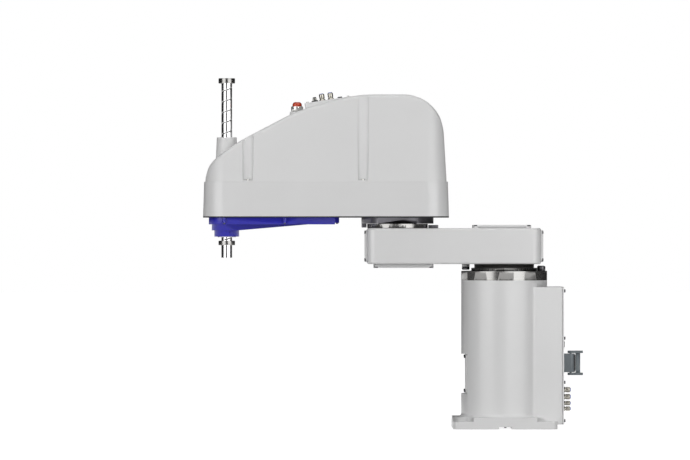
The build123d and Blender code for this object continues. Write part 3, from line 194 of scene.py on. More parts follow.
# Finishes
class Shader:  # adds and links the nodes of one material
    def __init__(self, name):
        self.mat = bpy.data.materials.new(name)
        self.mat.use_nodes = True
        self.tree = self.mat.node_tree
        self.bsdf = self.tree.nodes["Principled BSDF"]
        self.coord = self.tree.nodes.new("ShaderNodeTexCoord").outputs["Object"]

    def add(self, kind, values=None, **settings):
        node = self.tree.nodes.new("ShaderNode" + kind)
        for key, value in settings.items():
            setattr(node, key, value)
        for key, value in (values or {}).items():
            if isinstance(value, bpy.types.NodeSocket):
                self.tree.links.new(value, node.inputs[key])
            else:
                node.inputs[key].default_value = value
        return node

    def link(self, source, socket):
        self.tree.links.new(source, self.bsdf.inputs[socket])

    def noise(self, scale, detail=3.0, rough=0.55, vector=None):
        values = {"Vector": vector or self.coord, "Scale": scale, "Detail": detail, "Roughness": rough}
        return self.add("TexNoise", values).outputs["Fac"]

    def spread(self, source, low, high, fromLow=0.0, fromHigh=1.0):
        values = {"Value": source, "From Min": fromLow, "From Max": fromHigh, "To Min": low, "To Max": high}
        return self.add("MapRange", values).outputs["Result"]

    def blend(self, fac, first, second):
        node = self.add("Mix", data_type="RGBA")
        self.tree.links.new(fac, node.inputs["Factor"])
        for index, value in ((6, first), (7, second)):
            if isinstance(value, bpy.types.NodeSocket):
                self.tree.links.new(value, node.inputs[index])
            else:
                node.inputs[index].default_value = (*value, 1.0)
        return node.outputs[2]

    def math(self, how, a, b=None):
        return self.add("Math", {i: v for i, v in enumerate((a, b)) if v is not None},
                        operation=how).outputs[0]

    def bump(self, height, strength, distance, normal):
        values = {"Height": height, "Strength": strength, "Distance": distance, "Normal": normal}
        return self.add("Bump", values).outputs["Normal"]

    def roundEdge(self, radius):
        return self.add("Bevel", {"Radius": radius}, samples=4).outputs["Normal"]


# Screen colour, 0 to 255, as the light value that renders to it
def linear(r, g, b):
    shares = [v / 255.0 for v in (r, g, b)]
    return tuple(v / 12.92 if v <= 0.04045 else ((v + 0.055) / 1.055) ** 2.4 for v in shares)


# Satin paint or moulded plastic: cloudy tone, fine texture, soft edges tinted towards an edge colour, which
# is partly wear and partly a painted edge highlight (a painted edge shade where that colour is darker)
def painted(name, look):
    s = Shader(name)
    base = linear(*look["colour"])
    cloud = s.spread(s.noise(look.get("cloudScale", 7.0), 4.0), 0, 1, 0.3, 0.7)
    tone = s.blend(cloud, tuple(c * (1 - look["cloud"]) for c in base), base)
    speck = s.spread(s.noise(60.0, 5.0, 0.7), 0, look.get("speck", 0.05), 0.62, 0.8)
    tone = s.blend(speck, tone, tuple(c * 0.6 for c in base))
    edge = s.roundEdge(look["edge"] * mm)
    plain = s.add("NewGeometry").outputs["Normal"]
    turn = s.add("VectorMath", {0: edge, 1: plain}, operation="DOT_PRODUCT").outputs["Value"]
    # tints the rounded edges: partly wear, partly painted light (a painted highlight where the edge colour is
    # lighter, painted shade where it is darker)
    tone = s.blend(s.spread(turn, look.get("edgeWearAndPaintedLight", 0.2), 0.0, 0.75, 0.985), tone,
                   linear(*look.get("edgeWearAndPaintedLightColour", (232, 232, 232))))
    s.link(tone, "Base Color")
    grain = s.math("ADD", s.noise(look["grainScale"], 2.0), s.noise(look["grainScale"] * 0.21, 2.0))
    s.link(s.bump(grain, look["grain"], look.get("grainDepth", 0.06) * mm, edge), "Normal")
    s.link(s.spread(s.noise(24.0, 3.0), look["rough"] - 0.05, look["rough"] + 0.06), "Roughness")
    s.bsdf.inputs["Specular IOR Level"].default_value = look.get("specular", 0.45)
    s.bsdf.inputs["Coat Weight"].default_value = look.get("coat", 0.0)
    s.bsdf.inputs["Coat Roughness"].default_value = look.get("coatRough", 0.2)
    return s.mat


# Turned or ground metal: fine rings about an upright axis, and cloudy patches
def turned(name, look):
    s = Shader(name)
    place = (-look["axis"][0] * mm, -look["axis"][1] * mm, 0)
    x, y, z = s.add("SeparateXYZ",
                    {0: s.add("Mapping", {"Vector": s.coord, "Location": place}).outputs[0]}).outputs
    radius = s.math("SQRT", s.math("ADD", s.math("MULTIPLY", x, x), s.math("MULTIPLY", y, y)))
    line = s.noise(look["ringScale"], 2.0, 0.6, s.add("CombineXYZ", {"X": radius, "Y": z}).outputs[0])
    patch = s.noise(16.0, 4.0)
    base = linear(*look["colour"])
    dull = tuple(c * look.get("dull", 0.8) for c in base)
    tone = s.blend(s.spread(line, 0, 1, 0.3, 0.7), dull, base)
    s.link(s.blend(s.spread(patch, 0, 0.35, 0.5, 0.75), tone, dull), "Base Color")
    s.bsdf.inputs["Metallic"].default_value = look.get("metal", 1.0)
    s.link(s.math("ADD", s.spread(line, look["rough"] * 0.75, look["rough"] * 1.2),
                  s.spread(patch, -0.03, 0.04)), "Roughness")
    s.link(s.bump(line, look.get("ringBump", 0.2), 0.01 * mm, s.roundEdge(look.get("edge", 0.5) * mm)),
           "Normal")
    return s.mat


# Cast, drawn or plated metal with a cloudy shine and fine scratches
def plainMetal(name, look):
    s = Shader(name)
    base = linear(*look["colour"])
    dull = tuple(c * look.get("dull", 0.75) for c in base)
    tone = s.blend(s.spread(s.noise(look.get("cloudScale", 60.0), 4.0), 0, 1, 0.35, 0.7), base, dull)
    # painted shade: the shaft's grooves are darkened in colour, from the groove-depth attribute stored on the
    # shaft
    if look.get("groove"):
        grooveShadeMask = s.add("Attribute", attribute_name="groove").outputs["Fac"]
        tone = s.blend(grooveShadeMask, tone, linear(*look["groove"]))
    s.link(tone, "Base Color")
    s.bsdf.inputs["Metallic"].default_value = look.get("metal", 1.0)
    stretched = s.add("Mapping", {"Vector": s.coord, "Scale": look.get("stretch", (1, 1, 1))}).outputs[0]
    scratch = s.noise(look.get("scratchScale", 900.0), 3.0, 0.7, stretched)
    s.link(s.spread(scratch, look["rough"] * 0.8, look["rough"] * 1.3), "Roughness")
    s.link(s.bump(scratch, look.get("scratch", 0.15), 0.01 * mm, s.roundEdge(look.get("edge", 0.35) * mm)),
           "Normal")
    return s.mat


# Tinted lens, deeper in tone where it turns away from the eye: painted shade on the dome's rim
def tintedLens(name, look):
    s = Shader(name)
    deep, bright = linear(*look["deep"]), linear(*look["bright"])
    rim = s.add("LayerWeight", {"Blend": 0.35}).outputs["Facing"]
    tone = s.blend(s.spread(s.noise(90.0, 2.0), 0, 0.4), bright, deep)
    s.link(s.blend(s.spread(rim, 0, 0.9, 0.15, 0.8), tone, deep), "Base Color")
    s.link(s.spread(s.noise(300.0, 2.0), 0.16, 0.28), "Roughness")
    s.bsdf.inputs["Coat Weight"].default_value = 0.35
    s.bsdf.inputs["Coat Roughness"].default_value = 0.08
    s.bsdf.inputs["Specular IOR Level"].default_value = 0.4
    s.link(s.roundEdge(0.5 * mm), "Normal")
    return s.mat


castGrey, hoodGrey, sheetGrey = (214, 214, 214), (214, 214, 214), (217, 217, 217)
finishes = {
    "casting_paint": painted("castingPaint", {
        "colour": castGrey, "cloud": 0.03, "grainScale": 520.0, "grain": 0.16, "rough": 0.36, "edge": 1.1,
        "edgeWearAndPaintedLight": 0.10, "coat": 0.35}),
    "cover_paint": painted("hoodPlastic", {
        "colour": hoodGrey, "cloud": 0.02, "grainScale": 900.0, "grain": 0.14, "grainDepth": 0.05,
        "rough": 0.42,
        "edge": 1.3, "edgeWearAndPaintedLight": 0.08}),
    "sheet_paint": painted("sheetPaint", {
        "colour": sheetGrey, "cloud": 0.03, "grainScale": 700.0, "grain": 0.12, "grainDepth": 0.05,
        "rough": 0.38,
        "edge": 0.5, "edgeWearAndPaintedLight": 0.12, "coat": 0.2}),
    "blue_plastic": painted("bluePlastic", {
        "colour": (34, 32, 172), "cloud": 0.08, "speck": 0.02, "grainScale": 1100.0, "grain": 0.12,
        "grainDepth": 0.04, "rough": 0.30, "edge": 0.7, "edgeWearAndPaintedLight": 0.25, "edgeWearAndPaintedLightColour": (74, 74, 196),
        "specular": 0.5}),
    "ground_steel": turned("groundSteelRing", {
        "axis": (0, 0), "colour": (150, 149, 147), "ringScale": 2600.0, "rough": 0.26, "edge": 0.5}),
    "dark_steel": turned("darkSteelFlange", {
        "axis": (250, 0), "colour": (120, 119, 124), "ringScale": 2200.0, "rough": 0.34, "edge": 0.6,
        "dull": 0.7}),
    "black_screws": plainMetal("blackOxide", {
        "colour": (84, 83, 86), "rough": 0.24, "dull": 0.6, "cloudScale": 240.0, "metal": 0.9, "edge": 0.25}),
    "bright_screws": plainMetal("zincScrews", {
        "colour": (196, 196, 192), "rough": 0.24, "dull": 0.8, "cloudScale": 200.0, "edge": 0.25}),
    # hard chrome; its groove colour is painted shade in the shaft's grooves
    "shaft_chrome": plainMetal("hardChrome", {
        "colour": (240, 240, 240), "rough": 0.07, "dull": 0.94, "cloudScale": 40.0, "scratch": 0.05,
        "stretch": (1, 1, 24), "edge": 0.2, "groove": (48, 47, 46)}),
    "lamp_chrome": turned("lampBezel", {
        "axis": (485, 0), "colour": (226, 225, 222), "ringScale": 3000.0, "rough": 0.14, "edge": 0.4}),
    "lamp_orange": tintedLens("lampLens", {"deep": (112, 28, 4), "bright": (206, 62, 14)}),
    "bearing_steel": turned("bearingSteel", {
        "axis": (650, 0), "colour": (200, 199, 197), "ringScale": 2400.0, "rough": 0.18}),
    "pulley_metal": plainMetal("pulleyAluminium", {"colour": (188, 189, 190), "rough": 0.36, "edge": 0.3}),
    "belt_rubber": painted("beltRubber", {
        "colour": (30, 30, 31), "cloud": 0.25, "grainScale": 1500.0, "grain": 0.4, "rough": 0.6, "edge": 0.3,
        "edgeWearAndPaintedLight": 0.2, "edgeWearAndPaintedLightColour": (62, 62, 62), "specular": 0.3}),
    "motor_black": painted("motorBlack", {
        "colour": (38, 38, 40), "cloud": 0.2, "grainScale": 900.0, "grain": 0.35, "rough": 0.45, "edge": 0.8,
        "edgeWearAndPaintedLight": 0.3, "edgeWearAndPaintedLightColour": (96, 96, 98)}),
    "bare_aluminium": plainMetal("milledAluminium", {
        "colour": (190, 191, 193), "rough": 0.4, "stretch": (1, 14, 14), "scratchScale": 420.0, "edge": 0.5}),
    "slate_plastic": painted("slatePlastic", {
        "colour": (104, 112, 117), "cloud": 0.1, "grainScale": 1200.0, "grain": 0.2, "rough": 0.36,
        "edge": 0.7,
        "edgeWearAndPaintedLight": 0.4, "edgeWearAndPaintedLightColour": (58, 62, 66)}),
    "contact_black": painted("contactBlack", {
        "colour": (28, 28, 30), "cloud": 0.15, "grainScale": 1400.0, "grain": 0.2, "rough": 0.3, "edge": 0.4,
        "edgeWearAndPaintedLight": 0.15, "edgeWearAndPaintedLightColour": (70, 70, 72), "specular": 0.6}),
    "socket_metal": plainMetal("socketTin", {
        "colour": (196, 196, 190), "rough": 0.28, "edge": 0.4, "dull": 0.7, "cloudScale": 150.0}),
    "fitting_nickel": plainMetal("fittingNickel", {
        "colour": (168, 165, 156), "rough": 0.2, "dull": 0.6, "cloudScale": 170.0, "edge": 0.5}),
    "ring_blue": painted("ringBlue", {
        "colour": (44, 84, 180), "cloud": 0.1, "grainScale": 1500.0, "grain": 0.12, "rough": 0.32,
        "edge": 0.4,
        "edgeWearAndPaintedLight": 0.3, "edgeWearAndPaintedLightColour": (110, 140, 215)}),
    "button_black": painted("buttonBlack", {
        "colour": (26, 26, 27), "cloud": 0.12, "grainScale": 1500.0, "grain": 0.15, "rough": 0.3, "edge": 0.5,
        "edgeWearAndPaintedLight": 0.2, "edgeWearAndPaintedLightColour": (80, 80, 82), "specular": 0.6}),
}
for nodeName, cadObject in nodes.items():
    cadObject.data.materials.clear()
    cadObject.data.materials.append(finishes[slotOf[nodeName]])
print("stage:", len(finishes), "finishes")


# Mesh helpers
# Area-weighted normals keep flat and round faces clean where long thin triangles meet small ones
def cleanShading(mesh, sharp):
    mesh.shade_smooth()
    mesh.set_sharp_from_angle(angle=math.radians(sharp))
    holder = bpy.data.objects.new("holder", mesh)
    bpy.context.scene.collection.objects.link(holder)
    mod = holder.modifiers.new("weights", "WEIGHTED_NORMAL")
    mod.keep_sharp, mod.weight, mod.mode = True, 50, "FACE_AREA_WITH_ANGLE"
    depsgraph = bpy.context.evaluated_depsgraph_get()
    clean = bpy.data.meshes.new_from_object(holder.evaluated_get(depsgraph))
    bpy.data.objects.remove(holder)
    return clean


# Links a finished mesh as a piece of one body; it may stand for CAD nodes of that body
def addPiece(name, mesh, body, slot, standsFor=(), sharp=32.0):
    mesh = cleanShading(mesh, sharp)
    mesh.name = name
    if not mesh.materials:
        mesh.materials.append(finishes[slot])
    piece = bpy.data.objects.new(name, mesh)
    bpy.context.scene.collection.objects.link(piece)
    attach(piece, body)
    if standsFor:
        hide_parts(*standsFor)
    return piece


def standIn(name, mesh, nodeName, sharp=32.0):
    return addPiece(name, mesh, bodyOf[nodeName], slotOf[nodeName], (nodeName,), sharp)


def mergedMesh(nodeName):
    bm = bmesh.new()
    bm.from_mesh(nodes[nodeName].data)
    bmesh.ops.remove_doubles(bm, verts=bm.verts, dist=2e-6)
    mesh = bpy.data.meshes.new(nodeName + "Merged")
    bm.to_mesh(mesh)
    bm.free()
    return mesh


# A mesh from points and faces, with doubles merged and faces turned outwards
def meshFrom(name, verts, faces):
    mesh = bpy.data.meshes.new(name)
    mesh.from_pydata([tuple(v) for v in verts], [], faces)
    return outwards(mesh)


def outwards(mesh):
    bm = bmesh.new()
    bm.from_mesh(mesh)
    bmesh.ops.remove_doubles(bm, verts=bm.verts, dist=1e-6)
    bmesh.ops.recalc_face_normals(bm, faces=bm.faces)
    bm.to_mesh(mesh)
    bm.free()
    return mesh


def joined(meshes):
    bm = bmesh.new()
    for mesh in meshes:
        bm.from_mesh(mesh)
    whole = bpy.data.meshes.new("joined")
    bm.to_mesh(whole)
    bm.free()
    return whole


# Exact booleans with each cutter in turn, as a plain mesh
def booleaned(mesh, cutters, how):
    for cutter in cutters:
        base = bpy.data.objects.new("booleanBase", mesh)
        tool = bpy.data.objects.new("booleanTool", cutter)
        for part in (base, tool):
            bpy.context.scene.collection.objects.link(part)
        mod = base.modifiers.new("cut", "BOOLEAN")
        mod.operation, mod.solver, mod.object = how, "EXACT", tool
        depsgraph = bpy.context.evaluated_depsgraph_get()
        mesh = bpy.data.meshes.new_from_object(base.evaluated_get(depsgraph))
        bpy.data.objects.remove(base)
        bpy.data.objects.remove(tool)
    return mesh


# Stacked loops of equal length, joined into a closed solid
def loft(loops):
    count = len(loops[0])
    verts = [v for loop in loops for v in loop]
    faces = []
    for level in range(len(loops) - 1):
        a, b = level * count, (level + 1) * count
        faces += [(a + i, a + (i + 1) % count, b + (i + 1) % count, b + i) for i in range(count)]
    top = (len(loops) - 1) * count
    faces += [tuple(reversed(range(count))), tuple(range(top, top + count))]
    mesh = bpy.data.meshes.new("loft")
    mesh.from_pydata([tuple(v) for v in verts], [], faces)
    return mesh


def ringLoop(x, y, z, r, turns):
    angles = [2 * math.pi * i / turns for i in range(turns)]
    return [Vector(((x + r * math.cos(a)) * mm, (y + r * math.sin(a)) * mm, z * mm)) for a in angles]


def cone(lowR, highR, low, high, x, y, turns=72):
    return loft([ringLoop(x, y, low, lowR, turns), ringLoop(x, y, high, highR, turns)])


# A rectangle with round corners, at one height of a placed frame
def roundedLoop(place, x, y, z, length, width, edge, steps=6):
    loop = []
    for sx, sy, start in ((1, 1, 0), (-1, 1, 90), (-1, -1, 180), (1, -1, 270)):
        for k in range(steps + 1):
            a = math.radians(start + 90 * k / steps)
            px = x + (length / 2 - edge) * sx + edge * math.cos(a)
            py = y + (width / 2 - edge) * sy + edge * math.sin(a)
            loop.append(place @ Vector((px * mm, py * mm, z * mm)))
    return loop


# A geometry node tree with named inputs; lengths in it are metres
class Growth:
    def __init__(self, name, inputs):
        self.tree = bpy.data.node_groups.new(name, "GeometryNodeTree")
        face = self.tree.interface
        face.new_socket("Geometry", in_out="INPUT", socket_type="NodeSocketGeometry")
        for key, (kind, value) in inputs.items():
            socket = face.new_socket(key, in_out="INPUT", socket_type="NodeSocket" + kind)
            if value is not None:
                socket.default_value = value
        face.new_socket("Geometry", in_out="OUTPUT", socket_type="NodeSocketGeometry")
        self.start = self.tree.nodes.new("NodeGroupInput").outputs
        self.end = self.tree.nodes.new("NodeGroupOutput").inputs["Geometry"]

    def add(self, kind, values=None, **settings):
        node = self.tree.nodes.new(kind)
        for key, value in settings.items():
            setattr(node, key, value)
        for key, value in (values or {}).items():
            for one in value if isinstance(value, list) else [value]:
                if isinstance(one, bpy.types.NodeSocket):
                    self.tree.links.new(one, node.inputs[key])
                else:
                    node.inputs[key].default_value = one
        return node

    def math(self, how, *values):
        return self.add("ShaderNodeMath", dict(enumerate(values)), operation=how).outputs[0]

    def vector(self, x=0.0, y=0.0, z=0.0):
        return self.add("ShaderNodeCombineXYZ", {"X": x, "Y": y, "Z": z}).outputs[0]

    def moved(self, geometry, x=0.0, y=0.0, z=0.0):
        values = {"Geometry": geometry, "Translation": self.vector(x, y, z)}
        return self.add("GeometryNodeTransform", values).outputs[0]

    def named(self, name, kind="FLOAT"):
        return self.add("GeometryNodeInputNamedAttribute", {"Name": name},
                        data_type=kind).outputs["Attribute"]

    def finish(self, geometry, finish):
        real = self.add("GeometryNodeRealizeInstances", {"Geometry": geometry}).outputs[0]
        done = self.add("GeometryNodeSetMaterial", {"Geometry": real, "Material": finish}).outputs[0]
        self.tree.links.new(done, self.end)
        return self.tree


# Runs a tree on a seed mesh and hands back the plain result
def grown(tree, seed, values):
    holder = bpy.data.objects.new("holder", seed)
    bpy.context.scene.collection.objects.link(holder)
    mod = holder.modifiers.new("growth", "NODES")
    mod.node_group = tree
    for item in tree.interface.items_tree:
        if item.in_out == "INPUT" and item.name in values:
            mod[item.identifier] = values[item.name]
    depsgraph = bpy.context.evaluated_depsgraph_get()
    made = bpy.data.meshes.new_from_object(holder.evaluated_get(depsgraph))
    bpy.data.objects.remove(holder)
    return made


# Moulded hood of the outer arm
hood = {
    "noseX": 650.0, "noseR": 55.6, "rearX": 180.0, "rearHalf": 42.0, "rearR": 50.0,
    "low": 576.5, "high": 780.0, "inset": 5.5, "draft": 3.3,
    "slope": ((636.7, 662.8), (482.2, 743.4)),  # corners of the sloping top
    "crestX": 348.4, "noseTurn": 34.9, "radii": (68.0, 420.0, 370.0, 320.0, 95.0),
    "rimReach": 11.0,  # how far the rounded rim takes up side and top
    "chimney": (27.6, 23.3, 104.0, 20.8),  # lower radius, upper radius, height, bore
    "flutes": ((600.0, 50.0), (331.0, 81.0)), "fluteR": (12.0, 19.0), "fluteFoot": 3.0, "fluteOut": 2.0,
    "boss": (485.0, 17.5, 740.5),
    # x, z, tilt, length, width, corner, depth of its seat
    "panel": (413.0, 766.0, 8.5, 110.0, 92.0, 6.0, 26.0),
}
panelPlace = Matrix.Translation((hood["panel"][0] * mm, 0, hood["panel"][1] * mm))
panelPlace @= Matrix.Rotation(math.radians(hood["panel"][2]), 4, "Y")


# A polyline whose inner corners become arcs
def roundedLine(points, radii, step):
    out = [Vector(points[0])]
    for i, radius in enumerate(radii):
        a, b, c = (Vector(p) for p in points[i:i + 3])
        u, v = (a - b).normalized(), (c - b).normalized()
        half = math.acos(max(-1, min(1, u.dot(v)))) / 2
        reach = radius / math.tan(half)
        centre = b + (u + v).normalized() * radius / math.sin(half)
        start, end = b + u * reach, b + v * reach
        a0 = math.atan2(*(start - centre).yx)
        a1 = math.atan2(*(end - centre).yx)
        turn = (a1 - a0 + math.pi) % (2 * math.pi) - math.pi
        count = max(2, int(abs(turn) * radius / step))
        for k in range(count + 1):
            t = a0 + turn * k / count
            out.append(centre + Vector((math.cos(t), math.sin(t))) * radius)
    out.append(Vector(points[-1]))
    return out


# Height of the hood's top over x, as two arrays
def hoodCrown():
    lean = math.tan(math.radians(hood["draft"]))
    nose = hood["noseX"] + hood["noseR"] - hood["inset"] + 0.3
    back = hood["rearX"] - hood["rearR"] + hood["inset"] - 0.3
    low, high = hood["low"], hood["high"]
    turn = hood["noseTurn"]
    points = [(nose + 20 * lean, low - 20), (nose - turn * lean, low + turn), *hood["slope"]]
    points += [(hood["crestX"], high), (back + (high - low) * lean, high), (back - 20 * lean, low - 20)]
    line = roundedLine(points, hood["radii"], 1.5)
    xs = np.array([p.x for p in line])[::-1]
    zs = np.array([p.y for p in line])[::-1]
    return xs, zs


# Points round the plan: foot on the outline, outward direction, end on the middle line
def hoodPlan():
    cx, r0 = hood["noseX"], hood["noseR"]
    bx, by, r1 = hood["rearX"], hood["rearHalf"], hood["rearR"]
    reach = math.hypot(bx - cx, by)
    phi = math.atan2(by, bx - cx) - math.acos((r0 - r1) / reach)
    columns = []
    for a in np.linspace(0, phi, 40, endpoint=False):
        n = Vector((math.cos(a), math.sin(a)))
        columns.append((Vector((cx, 0)) + n * r0, n, Vector((cx, 0))))
    n = Vector((math.cos(phi), math.sin(phi)))
    start, end = Vector((cx, 0)) + n * r0, Vector((bx, by)) + n * r1
    for t in np.linspace(0, 1, 118, endpoint=False):
        q = start.lerp(end, t)
        columns.append((q, n, Vector((cx + (bx - cx) * t, 0))))
    for a in np.linspace(phi, math.pi, 36, endpoint=False):
        n = Vector((math.cos(a), math.sin(a)))
        columns.append((Vector((bx, by)) + n * r1, n, Vector((bx, 0))))
    for y in np.linspace(by, 0, 10):
        columns.append((Vector((bx - r1, y)), Vector((-1, 0)), Vector((bx, 0))))
    mirrored = [(Vector((q.x, -q.y)), Vector((n.x, -n.y)), m) for q, n, m in columns[1:-1]]
    return columns + mirrored[::-1]


def hoodShell():
    crownX, crownZ = hoodCrown()
    lean = math.tan(math.radians(hood["draft"]))
    low, inset, span = hood["low"], hood["inset"], hood["high"] - hood["low"]
    rise = np.linspace(0, span, 700)
    sideRows, rimRows, topRows = 26, 8, 34
    columns = hoodPlan()
    verts = []
    for q, n, middle in columns:
        xs = q.x - (inset + rise * lean) * n.x
        gap = np.interp(xs, crownX, crownZ) - (low + rise)
        under = np.nonzero(gap <= 0)[0]
        stop = rise[under[0]] if len(under) else span
        rim = q - n * (inset + stop * lean)
        reach = min(hood["rimReach"], stop * 0.5)
        lowRise = stop - reach
        for z in np.linspace(0, lowRise, sideRows):
            p = q - n * (inset + z * lean)
            verts.append(Vector((p.x, p.y, low + z)))
        a = verts[-1]
        b = Vector((rim.x, rim.y, low + stop))
        way = middle - rim
        share = min(0.45, reach / max(way.length, 1e-6))
        p = rim + way * share
        c = Vector((p.x, p.y, float(np.interp(p.x, crownX, crownZ))))
        for k in range(1, rimRows + 1):
            t = k / rimRows
            verts.append(a * (1 - t) ** 2 + b * 2 * t * (1 - t) + c * t ** 2)
        for k in range(1, topRows + 1):
            p = rim + way * (share + (1 - share) * k / topRows)
            verts.append(Vector((p.x, p.y, float(np.interp(p.x, crownX, crownZ)))))
    rows = sideRows + rimRows + topRows
    count = len(columns)
    faces = []
    for i in range(count):
        n = (i + 1) % count
        for j in range(rows - 1):
            faces.append((i * rows + j, n * rows + j, n * rows + j + 1, i * rows + j + 1))
    faces.append(tuple(i * rows for i in range(count))[::-1])
    return meshFrom("hoodShell", [v * mm for v in verts], faces)


def panelBlock(low, high):
    length, width, edge = hood["panel"][3:6]
    return loft([roundedLoop(panelPlace, 0, 0, z, length, width, edge) for z in (low, high)])


def fluteCones():
    cones = []
    cx, r0 = hood["noseX"], hood["noseR"]
    bx, by, r1 = hood["rearX"], hood["rearHalf"], hood["rearR"]
    phi = math.atan2(by, bx - cx) - math.acos((r0 - r1) / math.hypot(bx - cx, by))
    n = Vector((math.cos(phi), math.sin(phi)))
    start, end = Vector((cx, 0)) + n * (r0 - hood["inset"]), Vector((bx, by)) + n * (r1 - hood["inset"])
    for x, _ in hood["flutes"]:
        y = start.y + (end.y - start.y) * (x - start.x) / (end.x - start.x) + hood["fluteOut"]
        low = hood["low"] + hood["fluteFoot"]
        for side in (1, -1):
            cones.append(cone(*hood["fluteR"], low, low + hood["high"] - hood["low"], x, side * y))
    return cones


def buildHood():
    shell = hoodShell()
    lowR, highR, height, bore = hood["chimney"]
    x, r, seat = hood["boss"]
    low = hood["low"]
    adds = [
        cone(lowR, highR, low + 8, low + height, hood["noseX"], 0, 96),
        cone(r + 4, r - 0.5, seat - 40, seat, x, 0, 64),
        panelBlock(-hood["panel"][6], 0.0),
    ]
    cuts = fluteCones()
    cuts += [cone(bore, bore, low - 5, low + height + 5, hood["noseX"], 0, 96), panelBlock(0.0, 30.0)]
    mesh = booleaned(shell, adds, "UNION")
    mesh = booleaned(mesh, cuts, "DIFFERENCE")
    return standIn("mouldedHood", mesh, "arm2_cover", sharp=26.0)


buildHood()
print("stage: moulded hood")


# Tool shaft with its ball groove and spline grooves
shaftLook = {
    "Axis": 650.0, "Radius": 12.5, "Bore": 9.0, "Low": 398.0, "High": 819.0, "Lead": 25.0, "Chamfer": 0.8,
    "Ball Half": 1.3, "Ball Depth": 0.9,  # half width along the shaft and depth of the ball groove
    "Spline Half": 1.5, "Spline Depth": 1.3, "Splines": 3.0, "Groove Low": 440.0, "Groove High": 807.0,
}
shaftMesh = {"turns": 120, "rows": 560}


# A grid of rows and turns wrapped into the shaft; its last rows close the bore
def shaftTree():
    rows, turns = shaftMesh["rows"], shaftMesh["turns"]
    inputs = {key: ("Float", value if key == "Splines" else value * mm) for key, value in shaftLook.items()}
    g = Growth("splineShaft", {**inputs, "Finish": ("Material", None)})
    size = g.start
    sheet = g.add("GeometryNodeMeshGrid",
                  {"Size X": 1.0, "Size Y": 1.0, "Vertices X": rows + 3, "Vertices Y": turns + 1})
    index = g.add("GeometryNodeInputIndex").outputs[0]
    row = g.math("FLOOR", g.math("DIVIDE", g.math("ADD", index, 0.5), float(turns + 1)))
    share = g.math("DIVIDE", g.math("SUBTRACT", index, g.math("MULTIPLY", row, float(turns + 1))),
                   float(turns))
    angle = g.math("MULTIPLY", share, 2 * math.pi)
    length = g.math("SUBTRACT", size["High"], size["Low"])
    up = g.math("MULTIPLY", g.math("DIVIDE", row, float(rows - 1)), length)
    # distance from the ball groove's middle, along the shaft
    pitch = g.math("SUBTRACT", g.math("DIVIDE", up, size["Lead"]), share)
    off = g.math("MULTIPLY", g.math("ABSOLUTE", g.math("SUBTRACT", g.math("FRACT", pitch), 0.5)),
                 size["Lead"])
    near = g.math("DIVIDE", off, size["Ball Half"])
    ball = g.math("SQRT", g.math("MAXIMUM", g.math("SUBTRACT", 1.0, g.math("MULTIPLY", near, near)), 0.0))
    # distance from the nearest spline groove's middle, round the shaft
    part = g.math("SUBTRACT",
                  g.math("FRACT", g.math("ADD", g.math("MULTIPLY", share, size["Splines"]), 0.5)), 0.5)
    arc = g.math("DIVIDE", g.math("MULTIPLY", size["Radius"], 2 * math.pi), size["Splines"])
    side = g.math("MULTIPLY", g.math("ABSOLUTE", part), arc)
    wall = g.math("DIVIDE", g.math("SUBTRACT", size["Spline Half"], side), 0.35 * mm)
    spline = g.math("MINIMUM", g.math("MAXIMUM", wall, 0.0), 1.0)
    height = g.math("ADD", size["Low"], up)
    zone = g.math("MULTIPLY", g.math("GREATER_THAN", height, size["Groove Low"]),
                  g.math("LESS_THAN", height, size["Groove High"]))
    cut = g.math("MAXIMUM", g.math("MULTIPLY", ball, size["Ball Depth"]),
                 g.math("MULTIPLY", spline, size["Spline Depth"]))
    lowEnd = g.math("MAXIMUM", g.math("SUBTRACT", size["Chamfer"], up), 0.0)
    highEnd = g.math("MAXIMUM", g.math("SUBTRACT", size["Chamfer"], g.math("SUBTRACT", length, up)), 0.0)
    loss = g.math("ADD", g.math("MULTIPLY", cut, zone), g.math("MAXIMUM", lowEnd, highEnd))
    outer = g.math("SUBTRACT", size["Radius"], loss)
    # rows past the top turn in to the bore, run down it and meet the first row again
    past = g.math("GREATER_THAN", row, rows - 0.5)
    last = g.math("GREATER_THAN", row, rows + 1.5)
    inBore = g.math("SUBTRACT", past, last)
    down = g.math("GREATER_THAN", row, rows + 0.5)
    radius = g.math("ADD", g.math("MULTIPLY", outer, g.math("SUBTRACT", 1.0, past)),
                    g.math("MULTIPLY", size["Bore"], inBore))
    radius = g.math("ADD", radius,
                    g.math("MULTIPLY", g.math("SUBTRACT", size["Radius"], size["Chamfer"]), last))
    top = g.math("MULTIPLY", size["High"], g.math("MULTIPLY", past, g.math("SUBTRACT", 1.0, down)))
    z = g.math("ADD", g.math("MULTIPLY", height, g.math("SUBTRACT", 1.0, past)), top)
    z = g.math("ADD", z, g.math("MULTIPLY", size["Low"], down))
    x = g.math("ADD", size["Axis"], g.math("MULTIPLY", radius, g.math("COSINE", angle)))
    y = g.math("MULTIPLY", radius, g.math("SINE", angle))
    # how deep in a groove each point lies, stored to darken the chrome there as painted shade in the grooves
    grooveShadeMask = g.math("MULTIPLY", g.math("MAXIMUM", ball, g.math("MULTIPLY", spline, 0.35)),
                   g.math("MULTIPLY", zone, g.math("SUBTRACT", 1.0, past)))
    marked = g.add("GeometryNodeStoreNamedAttribute",
                   {"Geometry": sheet.outputs[0], "Name": "groove", "Value": grooveShadeMask}, domain="POINT")
    bent = g.add("GeometryNodeSetPosition",
                 {"Geometry": marked.outputs[0], "Position": g.vector(x, y, z)}).outputs[0]
    closed = g.add("GeometryNodeMergeByDistance", {"Geometry": bent, "Distance": 1e-6}).outputs[0]
    return g.finish(closed, size["Finish"])


seed = bpy.data.meshes.new("shaftSeed")
shaft = outwards(grown(shaftTree(), seed, {"Finish": finishes["shaft_chrome"]}))
standIn("splineShaft", shaft, "tool_shaft", sharp=38.0)
print("stage: shaft,", len(shaft.polygons), "faces")


